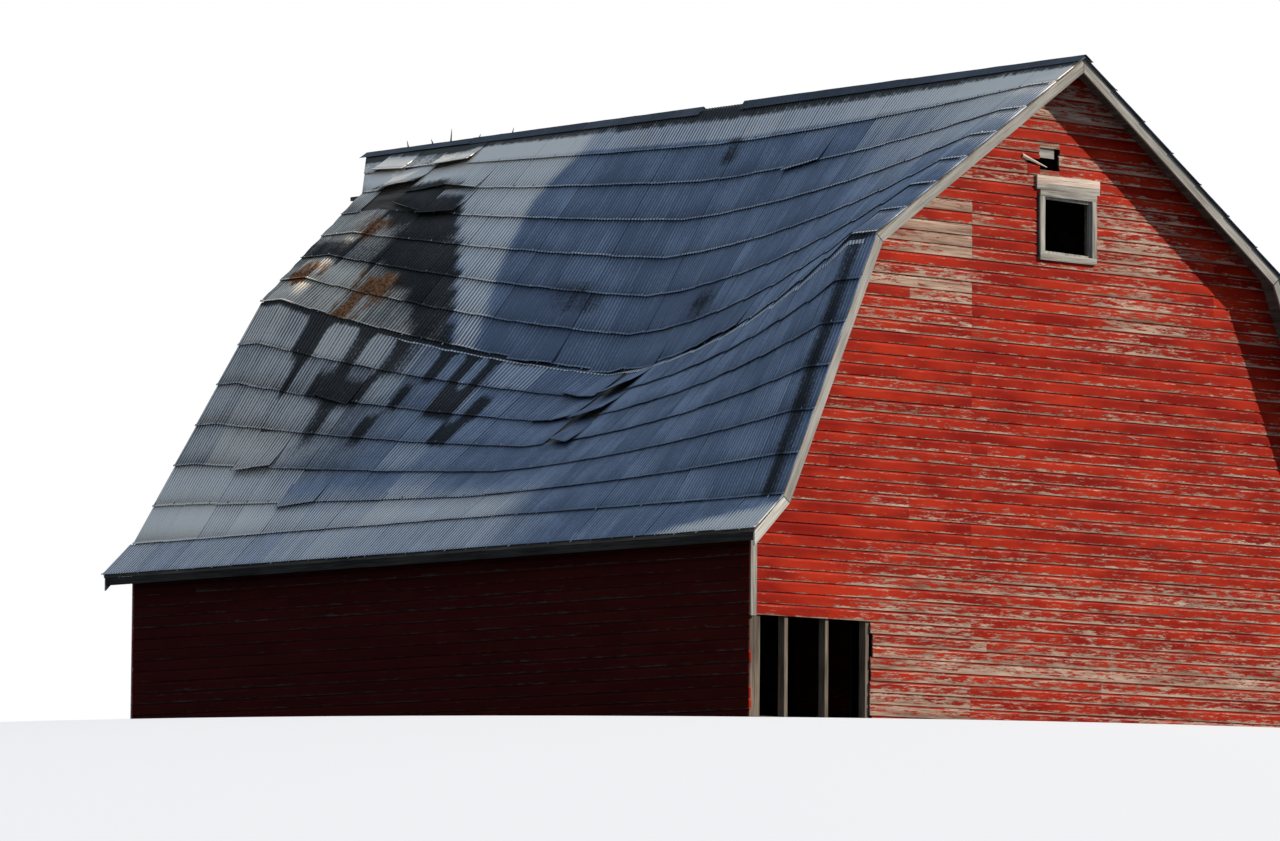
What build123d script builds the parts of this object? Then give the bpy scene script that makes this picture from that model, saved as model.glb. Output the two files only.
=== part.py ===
from build123d import *
import math
import os

# Old gambrel barn, empty and open to the weather, whose roof has sunk between its two gables.
# Units are millimetres. X runs across the gables, Y along the ridge with the front gable at -Y,
# and Z up from the ground. The origin is under the middle of the whole outline.

# Walls
WALL_WIDTH = 9660
WALL_LENGTH = 10970
PLATE_TOP = 2130
SIDING = 20
STUD_THICK = 50
STUD_DEPTH = 100
STUD_PITCH = 610
SILL_WIDTH = 150
SILL_HEIGHT = 120
PLATE_HEIGHT = 100
POST_SIDE = 150

# Roof outline in cross section: its points out or in from the wall face, and over the plate
EAVE_REACH = 215
FLARE_INSET = 196
KNUCKLE_INSET = 1581
FLARE_RISE = 392
KNUCKLE_RISE = 3382
RIDGE_RISE = 5651
RAKE_OVERHANG = 300
DECK = 22
RAFTER_THICK = 50
RAFTER_DEPTH = 140
RAFTER_BAYS = 18
UPPER_COURSES = 7
LOWER_COURSES = 6

# The sag: the upper rafters have turned down about the ridge, most in mid length
SAG_ANGLE = 23.5
RIGHT_SAG_SHARE = 0.6
SAG_PEAK = 5300
SAG_FRONT_POWER = 1.5
SAG_REAR_POWER = 1.1

# The sinking roof has drawn the rear gable in at the knuckle
REAR_PULL = 750
PULL_POWER = 3

# Hay hood over the rear gable
HOOD_REACH = 1510
HOOD_KNEE_REACH = 447
HOOD_COURSES = 2
RIDGE_BOARD_THICK = 40
RIDGE_BOARD_DEPTH = 190

# Roof sheets, course by course: the foot of each course lies over the head of the next
SHEET_THICK = 1
SHEET_FOOT_RISE = 18
SHEET_LAP = 40
CAP_WING = 140
CAP_THICK = 2
CAP_GAP_START = 5710
CAP_GAP = 750

# Loft
JOIST_THICK = 50
JOIST_DEPTH = 200
FLOOR_BOARDS = 25
GIRDER_X = 1650
GIRDER_WIDTH = 150
GIRDER_DEPTH = 200
POSTS_PER_GIRDER = 4
JOIST_SETBACK = 30
REAR_JOIST_GAP = 60
FLOOR_SETBACK = 234
TIE_DROP = 1150
TIE_DEPTH = 100
TIE_THICK = 40
TIE_MARGIN = 30
TIE_EVERY = 2
GIRT_DEPTH = 100
HEEL_WIDTH = 210

# Eaves and rakes
LOOKOUT_THICK = 50
LOOKOUT_SETBACK = 32
LOOKOUT_REST = 150
FASCIA_THICK = 25
FASCIA_DEPTH = 90
SOFFIT_THICK = 18
SOFFIT_DROP = 68
RAKE_BOARD_THICK = 25
RAKE_BOARD_DEPTH = 115
RAKE_BOARD_INSET = 12
JOINT_GAP = 4
CORNER_BOARD_WIDTH = 85
CORNER_BOARD_THICK = 18

# Front gable openings
WINDOW_X = 38
WINDOW_BOTTOM = 5460
WINDOW_WIDTH = 910
WINDOW_HEIGHT = 800
CASING = 75
CASING_THICK = 28
CASING_LAP = 55
SASH_RAIL = 38
SASH_THICK = 32
SASH_TILT = 0.9
SASH_CLEARANCE = 10
HOLE_LEFT = -400
HOLE_RIGHT = -90
HOLE_BOTTOM = 6490
HOLE_TOP = 6680
SPLIT_WIDTH = 250
SPLIT_HEIGHT = 45
HEAD_BOARD_WIDTH = 1010
HEAD_BOARD_HEIGHTS = (70, 92)
HEAD_BOARD_THICK = 24
HEAD_BOARD_GAP = 2
PATCH_HEIGHT = 80
PATCH_LAP = 30
TORN_WIDTH = 1830
TORN_TOP = 1210
SIDING_FOOT = 30

# Rear gable openings
DOOR_WIDTH = 2440
DOOR_HEAD = 40
HAY_DOOR_WIDTH = 1160
HAY_DOOR_HEIGHT = 1250
HAY_DOOR_SILL = 130
DOOR_LAP = 30
DOOR_THICK = 25

# Running fit between boards that lie against each other
CLEAR = 0.3

# Derived places
HALF = WALL_WIDTH / 2
FRAME_HALF = HALF - SIDING
EAVE_HALF = HALF + EAVE_REACH
FLARE_HALF = HALF - FLARE_INSET
KNUCKLE_HALF = HALF - KNUCKLE_INSET
FRONT_Y = -(WALL_LENGTH + HOOD_REACH - RAKE_OVERHANG) / 2
REAR_Y = FRONT_Y + WALL_LENGTH
RAKE_FRONT = FRONT_Y - RAKE_OVERHANG
RAKE_REAR = REAR_Y + RAKE_OVERHANG
FRAME_FRONT = FRONT_Y + SIDING
FRAME_REAR = REAR_Y - SIDING
FIRST_RAFTER = FRAME_FRONT + RAFTER_THICK / 2
LAST_RAFTER = FRAME_REAR - RAFTER_THICK / 2
RAFTER_RUN = LAST_RAFTER - FIRST_RAFTER
SAG_END = RAFTER_RUN - REAR_PULL
RIDGE = (0.0, PLATE_TOP + RIDGE_RISE)
KNUCKLE = (-KNUCKLE_HALF, PLATE_TOP + KNUCKLE_RISE)
FLARE = (-FLARE_HALF, PLATE_TOP + FLARE_RISE)
EAVE = (-EAVE_HALF, PLATE_TOP)
UPPER_LENGTH = math.dist(RIDGE, KNUCKLE)
UPPER_ANGLE = math.atan2(RIDGE[1] - KNUCKLE[1], KNUCKLE_HALF)
STUD_TOP = PLATE_TOP - PLATE_HEIGHT
DOOR_HEIGHT = STUD_TOP - DOOR_HEAD
JOIST_TOP = PLATE_TOP + JOIST_DEPTH
SOFFIT_TOP = PLATE_TOP - SOFFIT_DROP
SHARES = (1.0, RIGHT_SAG_SHARE)


def rafter_y(index):
    """Middle of a rafter pair along the ridge."""
    return FIRST_RAFTER + index * RAFTER_RUN / RAFTER_BAYS


def pull(y):
    """How far the knuckle above this place has been drawn towards the front."""
    along = min(1.0, max(0.0, (y - FIRST_RAFTER) / RAFTER_RUN))
    return -REAR_PULL * along ** PULL_POWER


def sag(y, share):
    """Angle in radians by which the upper slope has turned down where its knuckle lies at y."""
    along = y - FIRST_RAFTER
    if along <= 0 or along >= SAG_END:
        return 0.0
    if along < SAG_PEAK:
        bell = 1 - (1 - along / SAG_PEAK) ** SAG_FRONT_POWER
    else:
        bell = 1 - ((along - SAG_PEAK) / (SAG_END - SAG_PEAK)) ** SAG_REAR_POWER
    return math.radians(SAG_ANGLE * share * bell)


def knuckle(y, share):
    """Knuckle point (x, z) on top of the deck of the left side, for the pair at y."""
    angle = UPPER_ANGLE + sag(y + pull(y), share)
    return (-UPPER_LENGTH * math.cos(angle), RIDGE[1] - UPPER_LENGTH * math.sin(angle))


def inward(start, end):
    """Normal into the barn of a left-hand slope that runs down from start to end."""
    length = math.dist(start, end)
    return ((start[1] - end[1]) / length, (end[0] - start[0]) / length)


def moved(point, normal, depth):
    return (point[0] + normal[0] * depth, point[1] + normal[1] * depth)


def mitre(corner, first, second, depth):
    """Point under a corner where two slopes with these normals, both sunk by depth, meet."""
    spread = 1 + first[0] * second[0] + first[1] * second[1]
    return (corner[0] + (first[0] + second[0]) * depth / spread,
            corner[1] + (first[1] + second[1]) * depth / spread)


def at_x(start, end, x):
    """Point at this x of the line through start and end."""
    return (x, start[1] + (x - start[0]) * (end[1] - start[1]) / (end[0] - start[0]))


def at_z(start, end, z):
    """Point at this z of the line through start and end."""
    return (start[0] + (z - start[1]) * (end[0] - start[0]) / (end[1] - start[1]), z)


def blend(start, end, share):
    return tuple(a + (b - a) * share for a, b in zip(start, end))


def section(y, share, depth):
    """Left side of the roof at y, sunk by depth: its ridge, knuckle and flare points."""
    bend = knuckle(y, share)
    upper, lower = inward(RIDGE, bend), inward(bend, FLARE)
    ridge = at_x(moved(RIDGE, upper, depth), moved(bend, upper, depth), 0.0)
    flare = at_x(moved(bend, lower, depth), moved(FLARE, lower, depth), -FLARE_HALF)
    return [ridge, mitre(bend, upper, lower, depth), flare]


def flare_line(depth):
    """Two points of the flare slope, sunk by depth, plumb over its top and bottom ends."""
    normal = inward(FLARE, EAVE)
    top, low = moved(FLARE, normal, depth), moved(EAVE, normal, depth)
    return at_x(top, low, -FLARE_HALF), at_x(top, low, -EAVE_HALF)


def upper_lean(y, share):
    """Shift along Y of the upper slope at height z, for the pair at y."""
    ridge, bend = section(y, share, DECK + CLEAR)[:2]
    return lambda z: pull(y) * (ridge[1] - z) / (ridge[1] - bend[1])


def lower_lean(y, share):
    """Shift along Y of the lower slope at height z, for the pair at y."""
    bend = section(y, share, DECK + CLEAR)[1]
    return lambda z: pull(y) * (z - PLATE_TOP) / (bend[1] - PLATE_TOP)


def plumb(z):
    return 0.0


def slab(points, start, thick, lean=plumb):
    """Solid with this (x, z) outline, thick along Y, each point shifted by its lean."""
    wire = Wire.make_polygon([Vector(x, start + lean(z), z) for x, z in points], close=True)
    return Solid.extrude(Face(wire), Vector(0, thick, 0))


def block(x0, x1, y0, y1, z0, z1):
    return Pos((x0 + x1) / 2, (y0 + y1) / 2, (z0 + z1) / 2) * Box(x1 - x0, y1 - y0, z1 - z0)


def flip(shape):
    return mirror(shape, about=Plane.YZ)


def both_sides(solids):
    return list(solids) + [flip(solid) for solid in solids]


def deck_row(top, low, places):
    """One row of deck points, with its places along Y course by course: top and underside."""
    pairs = []
    for step, y in enumerate(places):
        upper = blend(top[0], top[1], step / (len(places) - 1))
        under = blend(low[0], low[1], step / (len(places) - 1))
        pairs.append((Vector(upper[0], y, upper[1]), Vector(under[0], y, under[1])))
    return pairs


def two_triangles(a, b, c, d):
    return [Face(Wire.make_polygon([a, b, c], close=True)),
            Face(Wire.make_polygon([a, c, d], close=True))]


def skin(rows, flats):
    """Closed solid through the rows: planar over the rafters, two triangles a course between."""
    faces = []
    for index, (near, far) in enumerate(zip(rows, rows[1:])):
        for side in (0, 1):
            if index in flats:
                edge = [pair[side] for pair in near] + [pair[side] for pair in reversed(far)]
                faces.append(Face(Wire.make_polygon(edge, close=True)))
                continue
            for step in range(len(near) - 1):
                faces += two_triangles(near[step][side], near[step + 1][side],
                                       far[step + 1][side], far[step][side])
        for step in (0, len(near) - 1):
            faces += two_triangles(near[step][0], far[step][0], far[step][1], near[step][1])
    for end in (rows[0], rows[-1]):
        for step in range(len(end) - 1):
            faces += two_triangles(end[step][0], end[step + 1][0],
                                   end[step + 1][1], end[step][1])
    return Solid(Shell(faces))


def hood_edge(step):
    """Rear end of the upper deck at a course: out at the ridge tip, drawn in to the knuckle."""
    if step <= HOOD_COURSES:
        reach = HOOD_REACH + (HOOD_KNEE_REACH - HOOD_REACH) * step / HOOD_COURSES
    else:
        share = (step - HOOD_COURSES) / (UPPER_COURSES - HOOD_COURSES)
        reach = HOOD_KNEE_REACH + (RAKE_OVERHANG - REAR_PULL - HOOD_KNEE_REACH) * share
    return REAR_Y + reach


def deck(upper, share):
    """Board deck of one slope of the left side, laid over every rafter."""
    part = slice(0, 2) if upper else slice(1, 3)
    courses = UPPER_COURSES if upper else LOWER_COURSES
    rows, flats = [], []
    for index in range(RAFTER_BAYS + 1):
        y = rafter_y(index)
        top, low = section(y, share, 0)[part], section(y, share, DECK)[part]
        if upper:
            first, last = 0.0, 1.0
        else:
            first, last = 1.0, (low[1][1] - PLATE_TOP) / (low[0][1] - PLATE_TOP)
        leans = [pull(y) * (first + (last - first) * step / courses)
                 for step in range(courses + 1)]
        flats.append(len(rows))
        for edge in (y - RAFTER_THICK / 2 if index else RAKE_FRONT, y + RAFTER_THICK / 2):
            rows.append(deck_row(top, low, [edge + lean for lean in leans]))
    if upper:
        places = [hood_edge(step) for step in range(courses + 1)]
    else:
        places = [RAKE_REAR + lean for lean in leans]
    rows.append(deck_row(top, low, places))
    return skin(rows, flats)


def sheet_pair(start, end, share, under, y):
    """Top and underside of a sheet at this share of a slope, with its underside this high."""
    x, z = blend(start, end, share)
    normal = inward(start, end)
    low = moved((x, z), normal, -under)
    top = moved((x, z), normal, -under - SHEET_THICK)
    return Vector(top[0], y, top[1]), Vector(low[0], y, low[1])


def sheet_course(upper, share, course):
    """One course of sheets on the left side, tilted over the head of the course below it."""
    courses = UPPER_COURSES if upper else LOWER_COURSES
    rows, flats = [], []
    for index in range(RAFTER_BAYS + 1):
        y = rafter_y(index)
        bend = knuckle(y, share)
        start, end = (RIDGE, bend) if upper else (bend, FLARE)
        lap = SHEET_LAP / math.dist(start, end) * courses if course < courses - 1 else 0
        steps = (course, course + 1 + lap)
        if upper:
            leans = [pull(y) * step / courses for step in steps]
        else:
            low = section(y, share, DECK)
            last = (low[2][1] - PLATE_TOP) / (low[1][1] - PLATE_TOP)
            leans = [pull(y) * (1 + (last - 1) * step / courses) for step in steps]
        flats.append(len(rows))
        edges = [[edge + lean for lean in leans] for edge in
                 (y - RAFTER_THICK / 2 if index else RAKE_FRONT, y + RAFTER_THICK / 2)]
        if index == RAFTER_BAYS:
            edges.append([hood_edge(step) for step in steps] if upper
                         else [RAKE_REAR + lean for lean in leans])
        for places in edges:
            rows.append([sheet_pair(start, end, step / courses, rise, place) for step, rise, place
                         in zip(steps, (CLEAR, SHEET_FOOT_RISE), places)])
    return skin(rows, flats)


def sheet_courses(upper, share):
    courses = UPPER_COURSES if upper else LOWER_COURSES
    return [sheet_course(upper, share, course) for course in range(courses)]


def flare_sheet():
    """Course of sheets on the left flare, straight from one rake to the other."""
    pairs = [sheet_pair(FLARE, EAVE, step, rise, 0)
             for step, rise in ((0, CLEAR), (1, SHEET_FOOT_RISE))]
    outline = [(point.X, point.Z) for point in
               (pairs[0][0], pairs[1][0], pairs[1][1], pairs[0][1])]
    return slab(outline, RAKE_FRONT, RAKE_REAR - RAKE_FRONT)


def flare_deck():
    (top_x, top_z), (low_x, low_z) = flare_line(0)
    (under_x, under_z), (tip_x, tip_z) = flare_line(DECK)
    outline = [(top_x, top_z), (low_x, low_z), (tip_x, tip_z), (under_x, under_z)]
    return slab(outline, RAKE_FRONT, RAKE_REAR - RAKE_FRONT)


def upper_rafter(y, share):
    """Rafter from the ridge board to the knuckle, plumb cut above and mitred below."""
    face = -RIDGE_BOARD_THICK / 2
    out = section(y, share, DECK + CLEAR)
    inner = section(y, share, DECK + CLEAR + RAFTER_DEPTH)
    outline = [at_x(out[0], out[1], face), out[1], inner[1], at_x(inner[0], inner[1], face)]
    return [slab(outline, y - RAFTER_THICK / 2, RAFTER_THICK, upper_lean(y, share))]


def lower_rafter(y, share):
    """Rafter from the knuckle to the flare, and the block that it stands on over the plate."""
    out = section(y, share, DECK + CLEAR)
    inner = section(y, share, DECK + CLEAR + RAFTER_DEPTH)
    foot = (out[2][0], min(out[2][1], flare_line(DECK + CLEAR)[0][1]))
    heel = moved(foot, inward(out[1], out[2]), RAFTER_DEPTH)
    rafter = [out[1], foot, heel, inner[1]]
    under = [(foot[0], foot[1] - CLEAR), (-FRAME_HALF, PLATE_TOP),
             (-FRAME_HALF + HEEL_WIDTH, PLATE_TOP), (heel[0], heel[1] - CLEAR)]
    return [slab(outline, y - RAFTER_THICK / 2, RAFTER_THICK, lower_lean(y, share))
            for outline in (rafter, under)]


def rafters(make, share):
    return [solid for index in range(RAFTER_BAYS + 1)
            for solid in make(rafter_y(index), share)]


def ridge_board():
    face = -RIDGE_BOARD_THICK / 2
    lines = [section(rafter_y(index), 1.0, DECK) for index in range(RAFTER_BAYS + 1)]
    top = min(at_x(line[0], line[1], face)[1] for line in lines) - CLEAR
    return block(face, -face, FRAME_FRONT, REAR_Y + HOOD_REACH - RAKE_BOARD_INSET,
                 top - RIDGE_BOARD_DEPTH, top)


def ridge_cap():
    """Folded sheet over the heads of the top courses, in two lengths with one missing."""
    wing = (CAP_WING * math.cos(UPPER_ANGLE), CAP_WING * math.sin(UPPER_ANGLE))
    course = UPPER_LENGTH / UPPER_COURSES + SHEET_LAP
    spread = (SHEET_FOOT_RISE - CLEAR) * CAP_WING / course
    low = RIDGE[1] + (SHEET_THICK + CLEAR * 2) / math.cos(UPPER_ANGLE)
    foot = low - wing[1] + spread / math.cos(UPPER_ANGLE)
    thick = CAP_THICK / math.cos(UPPER_ANGLE)
    outline = [(0.0, low + thick), (-wing[0], foot + thick), (-wing[0], foot), (0.0, low),
               (wing[0], foot), (wing[0], foot + thick)]
    gap = RAKE_FRONT + CAP_GAP_START
    ends = ((RAKE_FRONT, gap), (gap + CAP_GAP, REAR_Y + HOOD_REACH))
    return [slab(outline, start, end - start) for start, end in ends]


def collar_tie(y):
    """Tie across one pair, nailed to the rear faces of both rafters."""
    top = RIDGE[1] - TIE_DROP
    ends, leans = [], []
    for share in SHARES:
        line = section(y, share, DECK + TIE_MARGIN)
        ends.append([at_z(line[0], line[1], z)[0] for z in (top, top - TIE_DEPTH)])
        leans.append(upper_lean(y, share)(top))
    outline = [(ends[0][0], top), (ends[0][1], top - TIE_DEPTH),
               (-ends[1][1], top - TIE_DEPTH), (-ends[1][0], top)]
    return slab(outline, y + RAFTER_THICK / 2 + max(leans) + CLEAR, TIE_THICK)


def joist_y(index):
    """Front face of a loft joist: behind its rafter, clear of the studs of both gables."""
    if index == 0:
        return FRAME_FRONT + STUD_DEPTH
    if index == RAFTER_BAYS:
        return FRAME_REAR - STUD_DEPTH - REAR_JOIST_GAP - JOIST_THICK
    return rafter_y(index) + RAFTER_THICK / 2


def loft_joists():
    end = FRAME_HALF - JOIST_SETBACK
    return [block(-end, end, joist_y(index), joist_y(index) + JOIST_THICK,
                  PLATE_TOP, JOIST_TOP) for index in range(RAFTER_BAYS + 1)]


def eave_lookout(index):
    """Short false rafter beside a joist that carries the flare of the eave."""
    top, low = flare_line(DECK + CLEAR)
    tip = at_x(top, low, -EAVE_HALF + FASCIA_THICK + CLEAR)
    knee = at_x(top, low, -FLARE_HALF - LOOKOUT_SETBACK)
    inside = knee[0] + LOOKOUT_REST
    outline = [tip, knee, (inside, knee[1]), (inside, PLATE_TOP), (-HALF - CLEAR, PLATE_TOP),
               (-HALF - CLEAR, SOFFIT_TOP), (tip[0], SOFFIT_TOP)]
    side = -LOOKOUT_THICK if index == RAFTER_BAYS else JOIST_THICK
    return slab(outline, joist_y(index) + side, LOOKOUT_THICK)


def girders():
    return [block(-GIRDER_X - GIRDER_WIDTH / 2, -GIRDER_X + GIRDER_WIDTH / 2,
                  FRAME_FRONT + STUD_DEPTH, FRAME_REAR - STUD_DEPTH,
                  PLATE_TOP - GIRDER_DEPTH, PLATE_TOP)]


def girder_posts():
    first = FRAME_FRONT + SILL_WIDTH + POST_SIDE / 2
    step = (FRAME_REAR - SILL_WIDTH - POST_SIDE / 2 - first) / (POSTS_PER_GIRDER - 1)
    half = POST_SIDE / 2
    return [block(-GIRDER_X - half, -GIRDER_X + half, first + index * step - half,
                  first + index * step + half, 0, PLATE_TOP - GIRDER_DEPTH)
            for index in range(POSTS_PER_GIRDER)]


def loft_floor():
    half = FLARE_HALF - FLOOR_SETBACK
    return block(-half, half, FRAME_FRONT + STUD_DEPTH + CLEAR,
                 FRAME_REAR - STUD_DEPTH - REAR_JOIST_GAP, JOIST_TOP, JOIST_TOP + FLOOR_BOARDS)


def side_sill():
    return block(-FRAME_HALF, -FRAME_HALF + SILL_WIDTH, FRAME_FRONT, FRAME_REAR, 0, SILL_HEIGHT)


def end_sills():
    inside = FRAME_HALF - SILL_WIDTH
    front = block(-inside, inside, FRAME_FRONT, FRAME_FRONT + SILL_WIDTH, 0, SILL_HEIGHT)
    rear = block(-inside, -DOOR_WIDTH / 2, FRAME_REAR - SILL_WIDTH, FRAME_REAR, 0, SILL_HEIGHT)
    return [front] + both_sides([rear])


def corner_posts():
    posts = [block(-FRAME_HALF, -FRAME_HALF + POST_SIDE, y, y + POST_SIDE, SILL_HEIGHT, STUD_TOP)
             for y in (FRAME_FRONT, FRAME_REAR - POST_SIDE)]
    return both_sides(posts)


def side_studs():
    half = STUD_THICK / 2
    return [block(-FRAME_HALF, -FRAME_HALF + STUD_DEPTH, rafter_y(index) - half,
                  rafter_y(index) + half, SILL_HEIGHT, STUD_TOP)
            for index in range(1, RAFTER_BAYS)]


def side_plate():
    return block(-FRAME_HALF, -FRAME_HALF + STUD_DEPTH, FRAME_FRONT, FRAME_REAR,
                 STUD_TOP, PLATE_TOP)


def end_plates():
    inside = FRAME_HALF - STUD_DEPTH
    return [block(-inside, inside, y, y + STUD_DEPTH, STUD_TOP, PLATE_TOP)
            for y in (FRAME_FRONT, FRAME_REAR - STUD_DEPTH)]


def stud_row(clear_of=0.0):
    """Places of the gable studs across the wall, leaving out those near the middle."""
    inside = FRAME_HALF - POST_SIDE - STUD_THICK
    count = int(inside // STUD_PITCH)
    places = [index * STUD_PITCH for index in range(-count, count + 1)]
    return [x for x in places if abs(x) >= clear_of]


def front_lower_studs():
    half = STUD_THICK / 2
    return [block(x - half, x + half, FRAME_FRONT, FRAME_FRONT + STUD_DEPTH,
                  SILL_HEIGHT, STUD_TOP) for x in stud_row()]


def rear_lower_studs():
    half = STUD_THICK / 2
    return [block(x - half, x + half, FRAME_REAR - STUD_DEPTH, FRAME_REAR,
                  SILL_HEIGHT, STUD_TOP) for x in stud_row(DOOR_WIDTH / 2 + STUD_THICK * 2)]


def doorway_frame():
    """Posts and head board of the open doorway under the rear plate."""
    side, deep = DOOR_WIDTH / 2, FRAME_REAR - STUD_DEPTH
    post = block(-side - STUD_THICK, -side, deep, FRAME_REAR, SILL_HEIGHT, STUD_TOP)
    head = block(-side + CLEAR, side - CLEAR, deep, FRAME_REAR, DOOR_HEIGHT, STUD_TOP)
    return both_sides([post]) + [head]


def rafter_underside(x, depth):
    """Height at x of the straight roof over a gable, sunk by depth."""
    ridge, bend, flare = section(FIRST_RAFTER, 1.0, depth)
    if abs(x) < -bend[0]:
        return at_x(ridge, bend, -abs(x))[1]
    return at_x(bend, flare, -abs(x))[1]


def gable_studs(start, leans):
    """Studs of a gable above its plate, in two lifts with a girt between them.

    The upper lift has none in the middle, where the window and the hay door are.
    """
    lower, upper = leans
    depth = DECK + CLEAR * 2 + RAFTER_DEPTH
    half = STUD_THICK / 2
    under_girt = GIRT_TOP - GIRT_DEPTH
    solids = []
    for x in stud_row():
        tops = [rafter_underside(edge, depth) for edge in (x - half, x + half)]
        if min(tops) < PLATE_TOP + STUD_DEPTH:
            continue
        if min(tops) < under_girt < max(tops):
            tops = [min(tops), min(tops)]
        low = [min(top, under_girt) for top in tops]
        solids.append(slab([(x - half, PLATE_TOP), (x + half, PLATE_TOP),
                            (x + half, low[1]), (x - half, low[0])], start, STUD_DEPTH, lower))
        if min(tops) > GIRT_TOP and x != 0:
            solids.append(slab([(x - half, GIRT_TOP), (x + half, GIRT_TOP),
                                (x + half, tops[1]), (x - half, tops[0])],
                               start, STUD_DEPTH, upper))
    return solids


def gable_girt(start, lean):
    """Beam across a gable at the knuckle, under the upper studs."""
    ridge, bend, flare = section(FIRST_RAFTER, 1.0, DECK + CLEAR * 2 + RAFTER_DEPTH)
    top = at_z(ridge, bend, GIRT_TOP)
    low = at_z(bend, flare, GIRT_TOP - GIRT_DEPTH)
    outline = [top, low, (-low[0], low[1]), (-top[0], top[1])]
    return slab(outline, start, STUD_DEPTH, lean)


def window_edges():
    """Opening in the siding for the loft window: left, right, bottom and top."""
    half = WINDOW_WIDTH / 2 - CASING_LAP
    return (WINDOW_X - half, WINDOW_X + half,
            WINDOW_BOTTOM + CASING_LAP, WINDOW_BOTTOM + WINDOW_HEIGHT - CASING_LAP)


def window_framing():
    """Trimmers, header and rough sill round the opening of the loft window."""
    left, right, bottom, top = window_edges()
    near, far = FRAME_FRONT, FRAME_FRONT + STUD_DEPTH
    side = STUD_PITCH - STUD_THICK / 2
    trimmers = [block(x, x + STUD_THICK, near, far, GIRT_TOP, top - CLEAR)
                for x in (left - STUD_THICK, right)]
    header = block(-side, side, near, far, top, top + STUD_DEPTH)
    sill = block(left + CLEAR, right - CLEAR, FRONT_Y + SASH_THICK + CLEAR, far,
                 GIRT_TOP, bottom)
    return trimmers + [header, sill]


def window_casing():
    x0, x1 = WINDOW_X - WINDOW_WIDTH / 2, WINDOW_X + WINDOW_WIDTH / 2
    z0, z1 = WINDOW_BOTTOM, WINDOW_BOTTOM + WINDOW_HEIGHT
    outer = block(x0, x1, FRONT_Y - CASING_THICK, FRONT_Y, z0, z1)
    return outer - block(x0 + CASING, x1 - CASING, FRONT_Y - CASING_THICK, FRONT_Y,
                         z0 + CASING, z1 - CASING)


def window_sash():
    """Empty sash that has dropped askew behind its casing."""
    left, right, bottom, top = window_edges()
    wide, high = right - left - SASH_CLEARANCE * 2, top - bottom - SASH_CLEARANCE * 2
    ring = Box(wide, SASH_THICK, high)
    ring -= Box(wide - SASH_RAIL * 2, SASH_THICK, high - SASH_RAIL * 2)
    middle = Pos((left + right) / 2, FRONT_Y + SASH_THICK / 2, (bottom + top) / 2)
    return middle * Rot(0, SASH_TILT, 0) * ring


def window_head_boards():
    """Weathered board over the casing and a newer one over that."""
    left, z = WINDOW_X - HEAD_BOARD_WIDTH / 2, WINDOW_BOTTOM + WINDOW_HEIGHT
    boards = []
    for height in HEAD_BOARD_HEIGHTS:
        z += HEAD_BOARD_GAP
        boards.append(block(left, left + HEAD_BOARD_WIDTH, FRONT_Y - HEAD_BOARD_THICK, FRONT_Y,
                            z, z + height))
        z += height
    return boards


def peak_patch():
    """Board nailed behind the top of the hole over the window."""
    return block(HOLE_LEFT - PATCH_LAP, HOLE_RIGHT + PATCH_LAP, FRAME_FRONT,
                 FRAME_FRONT + SIDING, HOLE_TOP - PATCH_HEIGHT, HOLE_TOP + PATCH_LAP)


def gable_outline():
    """Left half of a gable's siding from its ridge to its eave, close under the decks."""
    depth = DECK + CLEAR
    return section(FIRST_RAFTER, 1.0, depth) + [at_x(*flare_line(depth), -HALF)]


def across(points):
    """Closed outline from its left half, listed from the middle or the top outwards."""
    return list(points) + [(-x, z) for x, z in reversed(points)]


def front_siding():
    """Siding of the front, split round the torn corner and the window."""
    left, right, bottom, top = window_edges()
    ridge, bend, turn, eave = gable_outline()
    torn = -HALF + TORN_WIDTH
    low, high = at_z(ridge, bend, bottom), at_z(ridge, bend, top)
    peak = slab([ridge, high, (-high[0], high[1])], FRONT_Y, SIDING)
    peak -= block(HOLE_LEFT, HOLE_RIGHT, FRONT_Y, FRAME_FRONT, HOLE_BOTTOM, HOLE_TOP)
    split = HOLE_TOP - PATCH_HEIGHT
    peak -= slab([(HOLE_LEFT - SPLIT_WIDTH, split), (HOLE_LEFT, split - SPLIT_HEIGHT),
                  (HOLE_LEFT, split)], FRONT_Y, SIDING)
    return {
        "front_base_siding": [
            block(-HALF, torn - CLEAR, FRONT_Y, FRAME_FRONT, TORN_TOP, PLATE_TOP),
            block(torn, HALF, FRONT_Y, FRAME_FRONT, SIDING_FOOT, PLATE_TOP)],
        "front_gable_siding": [slab(across([low, bend, turn, eave, (-HALF, PLATE_TOP)]),
                                    FRONT_Y, SIDING)],
        "front_window_siding": [
            slab([high, low, (left, bottom), (left, top)], FRONT_Y, SIDING),
            slab([(right, top), (right, bottom), (-low[0], bottom), (-high[0], top)],
                 FRONT_Y, SIDING)],
        "front_peak_siding": [peak],
    }


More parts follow.
